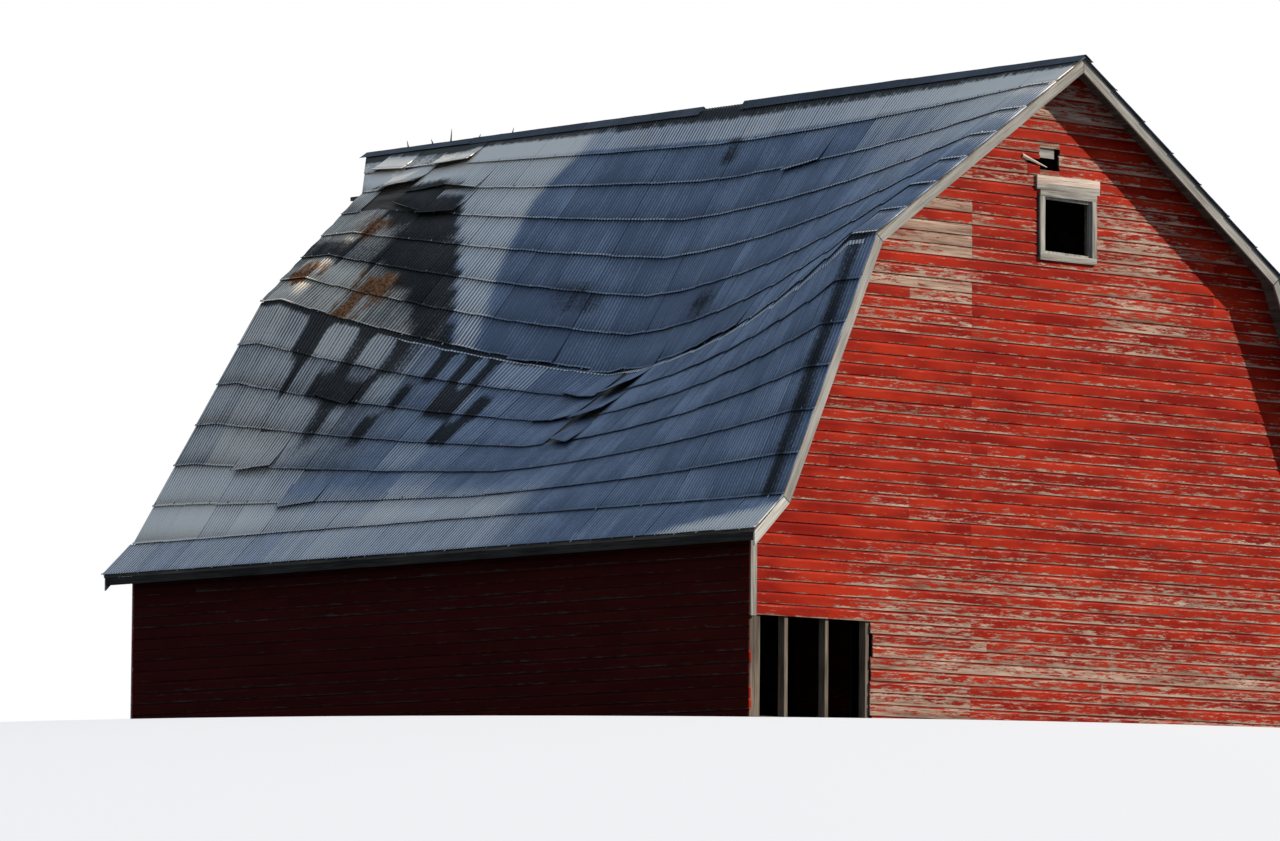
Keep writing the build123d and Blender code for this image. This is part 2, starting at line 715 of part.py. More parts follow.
def rear_siding(leans):
    """Siding of the rear, drawn in at the knuckle, with its doorway and hay door opening."""
    lower, upper = leans
    ridge, bend, turn, eave = gable_outline()
    side = DOOR_WIDTH / 2
    beside = block(-HALF, -side, FRAME_REAR, REAR_Y, SIDING_FOOT, PLATE_TOP)
    over = block(-side + CLEAR, side - CLEAR, FRAME_REAR, REAR_Y, DOOR_HEIGHT, PLATE_TOP)
    peak = slab([ridge, bend, (-bend[0], bend[1])], FRAME_REAR, SIDING, upper)
    half, sill = HAY_DOOR_WIDTH / 2, GIRT_TOP + HAY_DOOR_SILL
    near, far = FRAME_REAR - REAR_PULL, REAR_Y
    board = ridge_board().bounding_box()
    peak -= block(-half, half, near, far, sill, sill + HAY_DOOR_HEIGHT)
    peak -= block(board.min.X - CLEAR, board.max.X + CLEAR, near, far + STUD_DEPTH,
                  board.min.Z - CLEAR, ridge[1])
    return {
        "rear_base_siding": both_sides([beside]) + [over],
        "rear_gable_siding": [slab(across([bend, turn, eave, (-HALF, PLATE_TOP)]),
                                   FRAME_REAR, SIDING, lower)],
        "rear_peak_siding": [peak],
    }


def hay_door(lean):
    """Plank door hung over the opening under the hood, closed."""
    half, sill = HAY_DOOR_WIDTH / 2 + DOOR_LAP, GIRT_TOP + HAY_DOOR_SILL - DOOR_LAP
    top = sill + HAY_DOOR_HEIGHT + DOOR_LAP * 2
    return slab([(-half, sill), (half, sill), (half, top), (-half, top)],
                REAR_Y, DOOR_THICK, lean)


def side_siding():
    return block(-HALF, -FRAME_HALF, FRAME_FRONT, FRAME_REAR, SIDING_FOOT, PLATE_TOP)


def corner_boards():
    """Strips over the ends of the gable siding; the front left one is torn off low down."""
    edge, top = -HALF + CORNER_BOARD_WIDTH, STUD_TOP
    front, rear = FRONT_Y - CORNER_BOARD_THICK, REAR_Y + CORNER_BOARD_THICK
    whole = block(-HALF, edge, front, FRONT_Y, SIDING_FOOT, top)
    torn = block(-HALF, edge, front, FRONT_Y, TORN_TOP, top)
    back = block(-HALF, edge, REAR_Y, rear, SIDING_FOOT, top)
    return [torn, flip(whole)] + both_sides([back])


def shortened(start, end, gap):
    """The same line with both its ends drawn in by half the joint between two boards."""
    share = gap / 2 / math.dist(start, end)
    return blend(start, end, share), blend(end, start, share)


def edge_board(tops, lows, y, lean=plumb):
    """Board under one slope of a gable edge, from its two top and two lower corners."""
    top, low = shortened(*tops, JOINT_GAP), shortened(*lows, JOINT_GAP)
    return slab([top[0], top[1], low[1], low[0]], y, RAKE_BOARD_THICK, lean)


def rake_slopes():
    """Top and lower lines of the boards under a straight edge: upper, lower and flare."""
    depths = (DECK + CLEAR, DECK + RAKE_BOARD_DEPTH)
    sections = [section(FIRST_RAFTER, 1.0, depth) for depth in depths]
    upper = [line[0:2] for line in sections]
    lower = [line[1:3] for line in sections]
    return upper, lower, [flare_line(depth) for depth in depths]


def front_rake_boards():
    return [edge_board(*slope, RAKE_FRONT) for slope in rake_slopes()]


def rear_rake_boards(lower_slope_lean):
    """Boards under the left rear edge: two round the hood, one down the slope, one flare."""
    upper, lower, flare = rake_slopes()
    inset = RAKE_BOARD_THICK + RAKE_BOARD_INSET
    boards = [edge_board(*lower, RAKE_REAR - inset, lower_slope_lean),
              edge_board(*flare, RAKE_REAR - inset)]
    knees = [blend(*line, HOOD_COURSES / UPPER_COURSES) for line in upper]
    butts = [at_x(*line, -RIDGE_BOARD_THICK / 2) for line in upper]
    corners = [line[0] for line in upper], [line[1] for line in upper]
    for starts, ends, heights, steps in (
            (butts, knees, (corners[0][0][1], knees[0][1]), (0, HOOD_COURSES)),
            (knees, corners[1], (knees[0][1], corners[1][0][1]), (HOOD_COURSES, UPPER_COURSES))):
        places = [(z, hood_edge(step)) for z, step in zip(heights, steps)]
        boards.append(edge_board((starts[0], ends[0]), (starts[1], ends[1]), -inset,
                                 edge_lean(*places)))
    return boards


def edge_lean(start, end):
    """Places along Y, by height, of a straight rear edge from one (z, y) to another."""
    return lambda z: start[1] + (z - start[0]) * (end[1] - start[1]) / (end[0] - start[0])


def fascia():
    top = flare_line(DECK + CLEAR)[1][1]
    return block(-EAVE_HALF, -EAVE_HALF + FASCIA_THICK, RAKE_FRONT + RAKE_BOARD_THICK,
                 RAKE_REAR - RAKE_BOARD_THICK - RAKE_BOARD_INSET, top - FASCIA_DEPTH, top)


def soffit():
    return block(-EAVE_HALF + FASCIA_THICK, -HALF, FRONT_Y, REAR_Y,
                 SOFFIT_TOP - SOFFIT_THICK, SOFFIT_TOP)


GIRT_TOP = section(LAST_RAFTER, 1.0, DECK + CLEAR)[1][1]
REAR_LEANS = (lower_lean(LAST_RAFTER, 1.0), upper_lean(LAST_RAFTER, 1.0))
GABLES = ((FRAME_FRONT, (plumb, plumb)), (FRAME_REAR - STUD_DEPTH, REAR_LEANS))

nodes = {
    "side_sills": both_sides([side_sill()]),
    "end_sills": end_sills(),
    "corner_posts": corner_posts(),
    "side_studs": both_sides(side_studs()),
    "side_plates": both_sides([side_plate()]),
    "end_plates": end_plates(),
    "front_lower_studs": front_lower_studs(),
    "rear_lower_studs": rear_lower_studs(),
    "doorway_frame": doorway_frame(),
    "gable_girts": [gable_girt(start, leans[0]) for start, leans in GABLES],
    "front_gable_studs": gable_studs(*GABLES[0]),
    "rear_gable_studs": gable_studs(*GABLES[1]),
    "window_framing": window_framing(),
    "loft_posts": both_sides(girder_posts()),
    "loft_girders": both_sides(girders()),
    "loft_joists": loft_joists(),
    "loft_floor": [loft_floor()],
    "ridge_board": [ridge_board()],
    "ridge_cap": ridge_cap(),
    "left_upper_rafters": rafters(upper_rafter, 1.0),
    "left_lower_rafters": rafters(lower_rafter, 1.0),
    "right_upper_rafters": [flip(s) for s in rafters(upper_rafter, RIGHT_SAG_SHARE)],
    "right_lower_rafters": [flip(s) for s in rafters(lower_rafter, RIGHT_SAG_SHARE)],
    "collar_ties": [collar_tie(rafter_y(index)) for index in range(1, RAFTER_BAYS, TIE_EVERY)],
    "eave_lookouts": both_sides([eave_lookout(index) for index in range(RAFTER_BAYS + 1)]),
    "left_siding": [side_siding()],
    "right_siding": [flip(side_siding())],
    "corner_boards": corner_boards(),
    "left_upper_deck": [deck(True, 1.0)],
    "left_lower_deck": [deck(False, 1.0)],
    "right_upper_deck": [flip(deck(True, RIGHT_SAG_SHARE))],
    "right_lower_deck": [flip(deck(False, RIGHT_SAG_SHARE))],
    "flare_decks": both_sides([flare_deck()]),
    "left_upper_sheets": sheet_courses(True, 1.0),
    "left_lower_sheets": sheet_courses(False, 1.0),
    "right_upper_sheets": [flip(s) for s in sheet_courses(True, RIGHT_SAG_SHARE)],
    "right_lower_sheets": [flip(s) for s in sheet_courses(False, RIGHT_SAG_SHARE)],
    "flare_sheets": both_sides([flare_sheet()]),
    "front_rake_boards": both_sides(front_rake_boards()),
    "rear_rake_boards": both_sides(rear_rake_boards(REAR_LEANS[0])),
    "fascias": both_sides([fascia()]),
    "soffits": both_sides([soffit()]),
    "window_casing": [window_casing()],
    "window_sash": [window_sash()],
    "window_head_boards": window_head_boards(),
    "peak_patch": [peak_patch()],
    "hay_door": [hay_door(REAR_LEANS[1])],
}
nodes.update(front_siding())
nodes.update(rear_siding(REAR_LEANS))

os.makedirs("parts", exist_ok=True)
for name, solids in nodes.items():
    export_step(Compound(children=list(solids)), f"parts/{name}.step")
    print(name, len(solids), round(sum(solid.volume for solid in solids) / 1e9, 4), "m3")
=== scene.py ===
"""Looks of an old gambrel barn whose sheet-metal roof has sunk between its two gables.

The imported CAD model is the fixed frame. This script lays corrugated sheets, a ridge cap and
siding boards over it, gives every timber a weathered finish, and sets up camera and light.
Lengths are in metres: X across the gables, Y along the ridge, Z up.
"""

import bisect
import logging
import math
import random
from collections.abc import Callable, Iterable
from dataclasses import dataclass
from enum import Enum

import bmesh
import bpy
from mathutils import Matrix, Vector, noise

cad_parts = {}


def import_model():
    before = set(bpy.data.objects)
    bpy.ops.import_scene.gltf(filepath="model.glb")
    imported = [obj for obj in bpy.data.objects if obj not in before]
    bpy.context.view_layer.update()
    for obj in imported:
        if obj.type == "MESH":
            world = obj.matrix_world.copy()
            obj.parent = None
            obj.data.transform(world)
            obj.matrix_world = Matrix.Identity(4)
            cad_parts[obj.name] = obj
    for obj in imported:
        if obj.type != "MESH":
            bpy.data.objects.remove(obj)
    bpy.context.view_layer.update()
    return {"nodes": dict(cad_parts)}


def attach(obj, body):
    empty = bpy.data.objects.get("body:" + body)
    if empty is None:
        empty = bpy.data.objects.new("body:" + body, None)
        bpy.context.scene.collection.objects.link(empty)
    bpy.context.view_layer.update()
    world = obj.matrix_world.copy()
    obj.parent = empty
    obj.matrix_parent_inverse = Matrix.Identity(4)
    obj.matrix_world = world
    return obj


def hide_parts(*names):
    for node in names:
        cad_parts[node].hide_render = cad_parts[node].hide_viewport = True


LOG = logging.getLogger("barn")
ROOT = "root"
WAVE = 0.0508

Point = tuple[float, float]
Triple = tuple[float, float, float]
Lean = Callable[[float], float]
Mesh = bmesh.types.BMesh
Material = bpy.types.Material
Socket = bpy.types.NodeSocket


class Side(Enum):
    """A side of the ridge: the sign of its X and its share of the full sag."""

    LEFT = (-1.0, 1.0)
    RIGHT = (1.0, 0.6)

    def __init__(self, sign: float, share: float) -> None:
        """Names the two values."""
        self.sign = sign
        self.share = share


class Slope(Enum):
    """One of the three slopes of a side: its first course line and its number of courses."""

    UPPER = (0, 7)
    LOWER = (7, 6)
    FLARE = (13, 1)

    def __init__(self, first_line: int, courses: int) -> None:
        """Names the two values."""
        self.first_line = first_line
        self.courses = courses


class Wall(Enum):
    """A wall: whether it runs across the ridge, and which way it faces."""

    FRONT = (True, -1.0)
    REAR = (True, 1.0)
    LEFT = (False, -1.0)
    RIGHT = (False, 1.0)

    def __init__(self, across: bool, sign: float) -> None:
        """Names the two values."""
        self.across = across
        self.sign = sign


class Grain(Enum):
    """Axis that the grain of a board follows; with OWN each board brings its own."""

    X = 0
    Y = 1
    Z = 2
    OWN = 3


class Surface(Enum):
    """A kind of surface: how deep its relief stands and how much it shines."""

    WOOD = (0.004, 0.1)
    PAINT = (0.0025, 0.03)
    ZINC = (0.001, 0.3)

    def __init__(self, relief: float, sheen: float) -> None:
        """Names the two values."""
        self.relief = relief
        self.sheen = sheen


# Shape of the roof


def level_point(start: Point, end: Point, z: float) -> float:
    """X at this height of the line through two (x, z) points."""
    return start[0] + (z - start[1]) * (end[0] - start[0]) / (end[1] - start[1])


def plumb_point(start: Point, end: Point, x: float) -> Point:
    """Point at this X of the line through two (x, z) points."""
    return (x, start[1] + (x - start[0]) * (end[1] - start[1]) / (end[0] - start[0]))


def crossing(start: Point, end: Point, other_start: Point, other_end: Point) -> Point:
    """Point where two lines of a cross section meet.

    Args:
        start: Start of the first line.
        end: Its end.
        other_start: Start of the second line.
        other_end: Its end.

    Returns:
        The point, as X and Z.
    """
    first = (end[0] - start[0], end[1] - start[1])
    second = (other_end[0] - other_start[0], other_end[1] - other_start[1])
    between = (other_start[0] - start[0], other_start[1] - start[1])
    share = ((between[0] * second[1] - between[1] * second[0])
             / (first[0] * second[1] - first[1] * second[0]))
    return shifted(start, first, share)


def blend(start: Point, end: Point, share: float) -> Point:
    """Point that lies this share of the way from start to end."""
    return (start[0] + (end[0] - start[0]) * share, start[1] + (end[1] - start[1]) * share)


def shifted(point: Point, way: Point, length: float) -> Point:
    """The point moved by this many times a way."""
    return (point[0] + way[0] * length, point[1] + way[1] * length)


def inward(start: Point, end: Point) -> Point:
    """Normal into the barn of a slope that runs down and out from start to end."""
    length = math.dist(start, end)
    return ((end[1] - start[1]) / length, (start[0] - end[0]) / length)


def smooth(low: float, high: float, value: float) -> float:
    """Smooth step from 0 at low to 1 at high."""
    share = min(1.0, max(0.0, (value - low) / (high - low)))
    return share * share * (3 - 2 * share)


def bump(middle: float, half: float, value: float) -> float:
    """Smooth hump of height 1 at the middle that ends this far from it."""
    return 1 - smooth(0.0, half, abs(value - middle))


def ripple(x: float, y: float, layer: float) -> float:
    """Smooth noise, -1 to 1, at a place of one of its layers."""
    return noise.noise(Vector((x, y, layer)))


@dataclass(frozen=True)
class CourseLine:
    """A line along the deck on which a course of sheets starts or ends."""

    places: list[float]
    points: list[Vector]
    near: float = 0.01

    @property
    def end(self) -> float:
        """Place of its rear end."""
        return self.places[-1]

    def at(self, place: float) -> Vector:
        """Point of the line at a place along the roof, or on from its ends.

        Args:
            place: Place along Y, as it was before the roof leaned.

        Returns:
            The point.
        """
        index = bisect.bisect_right(self.places, place) - 1
        index = min(max(index, 0), len(self.places) - 2)
        span = self.places[index + 1] - self.places[index]
        share = (place - self.places[index]) / span
        return self.points[index].lerp(self.points[index + 1], share)

    def run(self, place: float) -> Vector:
        """Unit vector along the line at a place."""
        return (self.at(place + self.near) - self.at(place - self.near)).normalized()

    def normal(self, fall: Vector, place: float) -> Vector:
        """Upward normal at a place of a slope that falls this way."""
        normal = fall.cross(self.run(place)).normalized()
        return -normal if normal.z < 0 else normal


@dataclass(frozen=True)
class RoofShape:
    """The sunken gambrel roof as the CAD frame has it, with X measured outwards."""

    wall_half: float = 4.83
    plate_top: float = 2.13
    ridge: Point = (0.0, 7.781)
    knuckle: Point = (3.249, 5.512)
    flare: Point = (4.634, 2.522)
    eave: Point = (5.045, 2.13)
    front_wall: float = -6.09
    rear_wall: float = 4.88
    overhang: float = 0.3
    first_rafter: float = -6.045
    rafter_run: float = 10.88
    rafter_bays: int = 18
    rafter_thick: float = 0.05
    deck: float = 0.022
    sag_degrees: float = 23.5
    sag_peak: float = 5.3
    sag_powers: Point = (1.5, 1.1)
    rear_pull: float = 0.75
    pull_power: float = 3.0
    hood_reach: float = 1.51
    hood_knee: float = 0.447
    hood_courses: int = 2

    @property
    def rake_front(self) -> float:
        """Front edge of the roof."""
        return self.front_wall - self.overhang

    @property
    def rake_rear(self) -> float:
        """Rear edge of the flare."""
        return self.rear_wall + self.overhang

    def pull(self, y: float) -> float:
        """How far the knuckle over this place has been drawn towards the front."""
        along = min(1.0, max(0.0, (y - self.first_rafter) / self.rafter_run))
        return -self.rear_pull * along**self.pull_power

    def sag(self, y: float, share: float) -> float:
        """Angle by which the upper slope has turned down where its knuckle lies at y.

        Args:
            y: Where the knuckle lies.
            share: Share of the full sag on this side.

        Returns:
            The angle in radians.
        """
        along = y - self.first_rafter
        end = self.rafter_run - self.rear_pull
        if along <= 0 or along >= end:
            return 0.0
        if along < self.sag_peak:
            bell = 1 - (1 - along / self.sag_peak) ** self.sag_powers[0]
        else:
            bell = 1 - ((along - self.sag_peak) / (end - self.sag_peak)) ** self.sag_powers[1]
        return math.radians(self.sag_degrees * share * bell)

    def bend(self, y: float, share: float) -> Point:
        """Knuckle point on top of the deck for the rafters at y.

        Args:
            y: Where the rafters stand.
            share: Share of the full sag on this side.

        Returns:
            The point, as X and Z.
        """
        length = math.dist(self.ridge, self.knuckle)
        angle = math.atan2(self.ridge[1] - self.knuckle[1], self.knuckle[0])
        angle += self.sag(y + self.pull(y), share)
        return (length * math.cos(angle), self.ridge[1] - length * math.sin(angle))

    def section(self, y: float, share: float, depth: float) -> list[Point]:
        """Ridge, knuckle and flare points of one side at y, sunk by depth.

        Args:
            y: Where the rafters stand.
            share: Share of the full sag on this side.
            depth: How far under the top of the deck.

        Returns:
            The three points, as X and Z.
        """
        bend = self.bend(y, share)
        upper, lower = inward(self.ridge, bend), inward(bend, self.flare)
        spread = 1 + upper[0] * lower[0] + upper[1] * lower[1]
        top = [shifted(point, upper, depth) for point in (self.ridge, bend)]
        low = [shifted(point, lower, depth) for point in (bend, self.flare)]
        both = (upper[0] + lower[0], upper[1] + lower[1])
        return [plumb_point(*top, 0.0), shifted(bend, both, depth / spread),
                plumb_point(*low, self.flare[0])]

    def hood_edge(self, step: int) -> float:
        """Rear end of the upper slope at a course line.

        Args:
            step: Number of the line from the ridge.

        Returns:
            Its place along Y.
        """
        if step <= self.hood_courses:
            reach = self.hood_reach + (self.hood_knee - self.hood_reach) * step / self.hood_courses
        else:
            share = (step - self.hood_courses) / (Slope.UPPER.courses - self.hood_courses)
            low = self.overhang - self.rear_pull
            reach = self.hood_knee + (low - self.hood_knee) * share
        return self.rear_wall + reach

    def lines(self, side: Side, slope: Slope) -> list[CourseLine]:
        """Course lines of a slope from its top to its foot.

        Args:
            side: Side of the ridge.
            slope: Slope of that side.

        Returns:
            One line more than the slope has courses.
        """
        if slope is Slope.FLARE:
            ends = (self.rake_front, self.rake_rear)
            return [CourseLine(list(ends), [Vector((side.sign * x, y, z)) for y in ends])
                    for x, z in (self.flare, self.eave)]
        steps = slope.courses + 1
        places: list[list[float]] = [[] for _ in range(steps)]
        points: list[list[Vector]] = [[] for _ in range(steps)]
        half = self.rafter_thick / 2
        for index in range(self.rafter_bays + 1):
            y = self.first_rafter + index * self.rafter_run / self.rafter_bays
            top = self.section(y, side.share, 0.0)
            low = self.section(y, side.share, self.deck)
            pair, first, last = top[:2], 0.0, 1.0
            if slope is Slope.LOWER:
                last = (low[2][1] - self.plate_top) / (low[1][1] - self.plate_top)
                pair, first = top[1:], 1.0
            for step in range(steps):
                share = step / slope.courses
                x, z = blend(*pair, share)
                lean = self.pull(y) * (first + (last - first) * share)
                for edge in (y - half if index else self.rake_front, y + half):
                    places[step].append(edge)
                    points[step].append(Vector((side.sign * x, edge + lean, z)))
        for step in range(steps):
            previous = points[step][-1]
            end = self.rake_rear + previous.y - places[step][-1]
            if slope is Slope.UPPER:
                end = self.hood_edge(step)
            places[step].append(places[step][-1] + end - previous.y)
            points[step].append(Vector((previous.x, end, previous.z)))
        return [CourseLine(*pair) for pair in zip(places, points)]

    def gable_half(self, z: float) -> float:
        """Half the width of a gable wall at height z, close under the decks.

        Args:
            z: Height over the ground.

        Returns:
            The half width.
        """
        ridge, bend, flare = self.section(self.first_rafter, 1.0, self.deck)
        if z >= bend[1]:
            return max(0.0, level_point(ridge, bend, z))
        if z >= flare[1]:
            return level_point(bend, flare, z)
        if z >= self.plate_top:
            foot = (self.eave[0], self.eave[1] - self.deck)
            return min(self.wall_half, level_point(flare, foot, z))
        return self.wall_half

    def rear_lean(self, z: float) -> float:
        """Shift along Y of the rear gable at height z, drawn in most at the knuckle.

        Args:
            z: Height over the ground.

        Returns:
            The shift, which is never to the rear.
        """
        ridge, bend, _ = self.section(self.first_rafter + self.rafter_run, 1.0, self.deck)
        if z <= self.plate_top:
            return 0.0
        if z < bend[1]:
            return -self.rear_pull * (z - self.plate_top) / (bend[1] - self.plate_top)
        return -self.rear_pull * max(0.0, ridge[1] - z) / (ridge[1] - bend[1])


# Shader building


@dataclass(frozen=True)
class NodeMaker:
    """Adds nodes to one shader tree and links them in the same call."""

    tree: bpy.types.NodeTree

    def feed(self, node: bpy.types.Node, inputs: dict) -> None:
        """Gives inputs of a node, by name or number, their value or socket.

        Args:
            node: The node.
            inputs: Value or socket for each input.
        """
        for key, value in inputs.items():
            if isinstance(value, Socket):
                self.tree.links.new(value, node.inputs[key])
            else:
                node.inputs[key].default_value = value

    def add(self, kind: str, inputs: dict | None = None, **settings: object) -> bpy.types.Node:
        """New node of a kind.

        Args:
            kind: Blender's name of the node type.
            inputs: Value or socket for each input, by its name or number.
            **settings: Attributes to set on the node.

        Returns:
            The node.
        """
        node = self.tree.nodes.new(kind)
        for name, value in settings.items():
            setattr(node, name, value)
        self.feed(node, inputs or {})
        return node

    def math(self, operation: str, first: Socket, second: Socket | None = None) -> Socket:
        """Socket with the result of a maths node."""
        inputs = {0: first} if second is None else {0: first, 1: second}
        return self.add("ShaderNodeMath", inputs, operation=operation).outputs[0]

    def total(self, *parts: tuple[Socket, float], base: float = 0.0) -> Socket:
        """Socket with the base and every part times its factor, added up.

        Args:
            *parts: Sockets, each with its factor.
            base: What is added to them.

        Returns:
            The socket of the sum.
        """
        for part, factor in parts:
            base = self.add("ShaderNodeMath", {0: part, 1: factor, 2: base},
                            operation="MULTIPLY_ADD").outputs[0]
        return base

    def noise(self, place: Socket, stretch: Triple, scale: float, detail: float = 3.0,
              rough: float = 0.55) -> Socket:
        """Socket with the value of a noise texture at coordinates times stretch.

        Args:
            place: The coordinates.
            stretch: Factors of the three axes.
            scale: Scale of the noise.
            detail: Its octaves.
            rough: How strong the finer octaves are.

        Returns:
            The socket of the value.
        """
        vector = self.add("ShaderNodeVectorMath", {0: place, 1: stretch},
                          operation="MULTIPLY").outputs[0]
        inputs = {"Vector": vector, "Scale": scale, "Detail": detail, "Roughness": rough}
        return self.add("ShaderNodeTexNoise", inputs).outputs[0]

    def ramp(self, value: Socket, low: float, high: float) -> Socket:
        """Socket that goes smoothly from 0 to 1 as value goes from low to high.

        Args:
            value: Socket that is read.
            low: Where the rise starts.
            high: Where it ends.

        Returns:
            The socket of the result.
        """
        return self.add("ShaderNodeMapRange", {"Value": value, "From Min": low,
                                               "From Max": high},
                        interpolation_type="SMOOTHSTEP").outputs[0]

    def mix(self, factor: Socket, first: Socket | tuple, second: Socket | tuple) -> Socket:
        """Socket with a mix of two colours."""
        return self.add("ShaderNodeMix", {0: factor, 6: first, 7: second},
                        data_type="RGBA").outputs[2]

    def attribute(self, name: str, output: str = "Vector") -> Socket:
        """Socket with a layer of the mesh."""
        return self.add("ShaderNodeAttribute", attribute_name=name).outputs[output]

    def parts(self, vector: Socket) -> list[Socket]:
        """Sockets with the three parts of a vector."""
        return list(self.add("ShaderNodeSeparateXYZ", {0: vector}).outputs)

    def place(self, grain: Grain) -> Socket:
        """Coordinates with the grain's axis first.

        Args:
            grain: Axis that the grain follows.

        Returns:
            The socket of the coordinates.
        """
        if grain is Grain.OWN:
            return self.attribute("board_place")
        parts = self.parts(self.add("ShaderNodeTexCoord").outputs["Object"])
        ordered = [parts.pop(grain.value), *parts]
        return self.add("ShaderNodeCombineXYZ", dict(enumerate(ordered))).outputs[0]


def opaque(colour: Triple) -> tuple[float, float, float, float]:
    """The colour with full alpha."""
    return (*colour, 1.0)


COLOUR, FLOAT, VECTOR = "NodeSocketColor", "NodeSocketFloat", "NodeSocketVector"
SURFACE = {"Color": COLOUR, "Roughness": FLOAT, "Metallic": FLOAT, "Height": FLOAT}
CRACK = opaque((0.02, 0.017, 0.014))
DRAB = (opaque((0.10, 0.09, 0.075)), opaque((0.84, 0.74, 0.59)))
OCHRE = (opaque((0.09, 0.036, 0.015)), opaque((0.44, 0.185, 0.07)))
SOOT_AND_SHADE = (opaque((0.006, 0.006, 0.006)), opaque((0.035, 0.033, 0.03)))


def new_group(name: str, inputs: dict[str, str]) -> tuple[NodeMaker, bpy.types.Node]:
    """Shader group with these inputs and a surface's outputs: its maker and input node.

    Args:
        name: Name of the group.
        inputs: Kind of socket of each of its inputs, by name.

    Returns:
        The maker of its nodes and its input node.
    """
    group = bpy.data.node_groups.new(name, "ShaderNodeTree")
    for way, sockets in (("INPUT", inputs), ("OUTPUT", SURFACE)):
        for title, kind in sockets.items():
            group.interface.new_socket(title, in_out=way, socket_type=kind)
    maker = NodeMaker(group)
    return maker, maker.add("NodeGroupInput")


def wood_group() -> bpy.types.NodeTree:
    """Weathered wood: grain along X of its coordinates, long checks and blotches.

    Returns:
        The group.
    """
    maker, start = new_group("WeatheredWood", {"Place": VECTOR, "Light": COLOUR,
                                               "Dark": COLOUR})
    place, light, dark = (start.outputs[title] for title in ("Place", "Light", "Dark"))
    grain = maker.noise(place, (1.2, 26.0, 26.0), 1.6, 5.0, 0.65)
    blotch = maker.noise(place, (0.9, 4.0, 4.0), 1.1)
    checks = maker.noise(place, (0.8, 75.0, 75.0), 1.3, 2.0)
    tone = maker.total((grain, 0.65), (blotch, 0.5))
    colour = maker.mix(maker.ramp(tone, 0.38, 0.78), dark, light)
    crack = maker.ramp(checks, 0.64, 0.72)
    maker.add("NodeGroupOutput", {"Color": maker.mix(maker.total((crack, 0.7)), colour, CRACK),
                                  "Roughness": 0.85,
                                  "Height": maker.math("SUBTRACT", grain, crack)})
    return maker.tree


def paint_group() -> bpy.types.NodeTree:
    """Old paint that has flaked off its wood, most where the wear is high.

    Returns:
        The group.
    """
    maker, start = new_group("PeelingPaint", {"Place": VECTOR, "Wear": FLOAT, "Paint": COLOUR,
                                              "Faded": COLOUR, "Wood": COLOUR,
                                              "Wood Height": FLOAT})
    given = start.outputs
    place = given["Place"]
    flakes = maker.noise(place, (3.2, 22.0, 9.0), 1.5, 6.0, 0.68)
    fine = maker.noise(place, (14.0, 90.0, 9.0), 1.4, 3.0, 0.6)
    fading = maker.noise(place, (0.8, 2.5, 5.0), 1.2)
    flaked = maker.total((flakes, 0.72), (fine, 0.28), (given["Wear"], 1.0))
    bare = maker.ramp(flaked, 0.97, 1.07)
    paint = maker.mix(maker.ramp(fading, 0.3, 0.75), given["Paint"], given["Faded"])
    maker.add("NodeGroupOutput", {
        "Color": maker.mix(bare, paint, given["Wood"]),
        "Roughness": maker.total((bare, 0.2), base=0.6),
        "Height": maker.total((bare, -0.8), (given["Wood Height"], 0.4), base=0.8)})
    return maker.tree


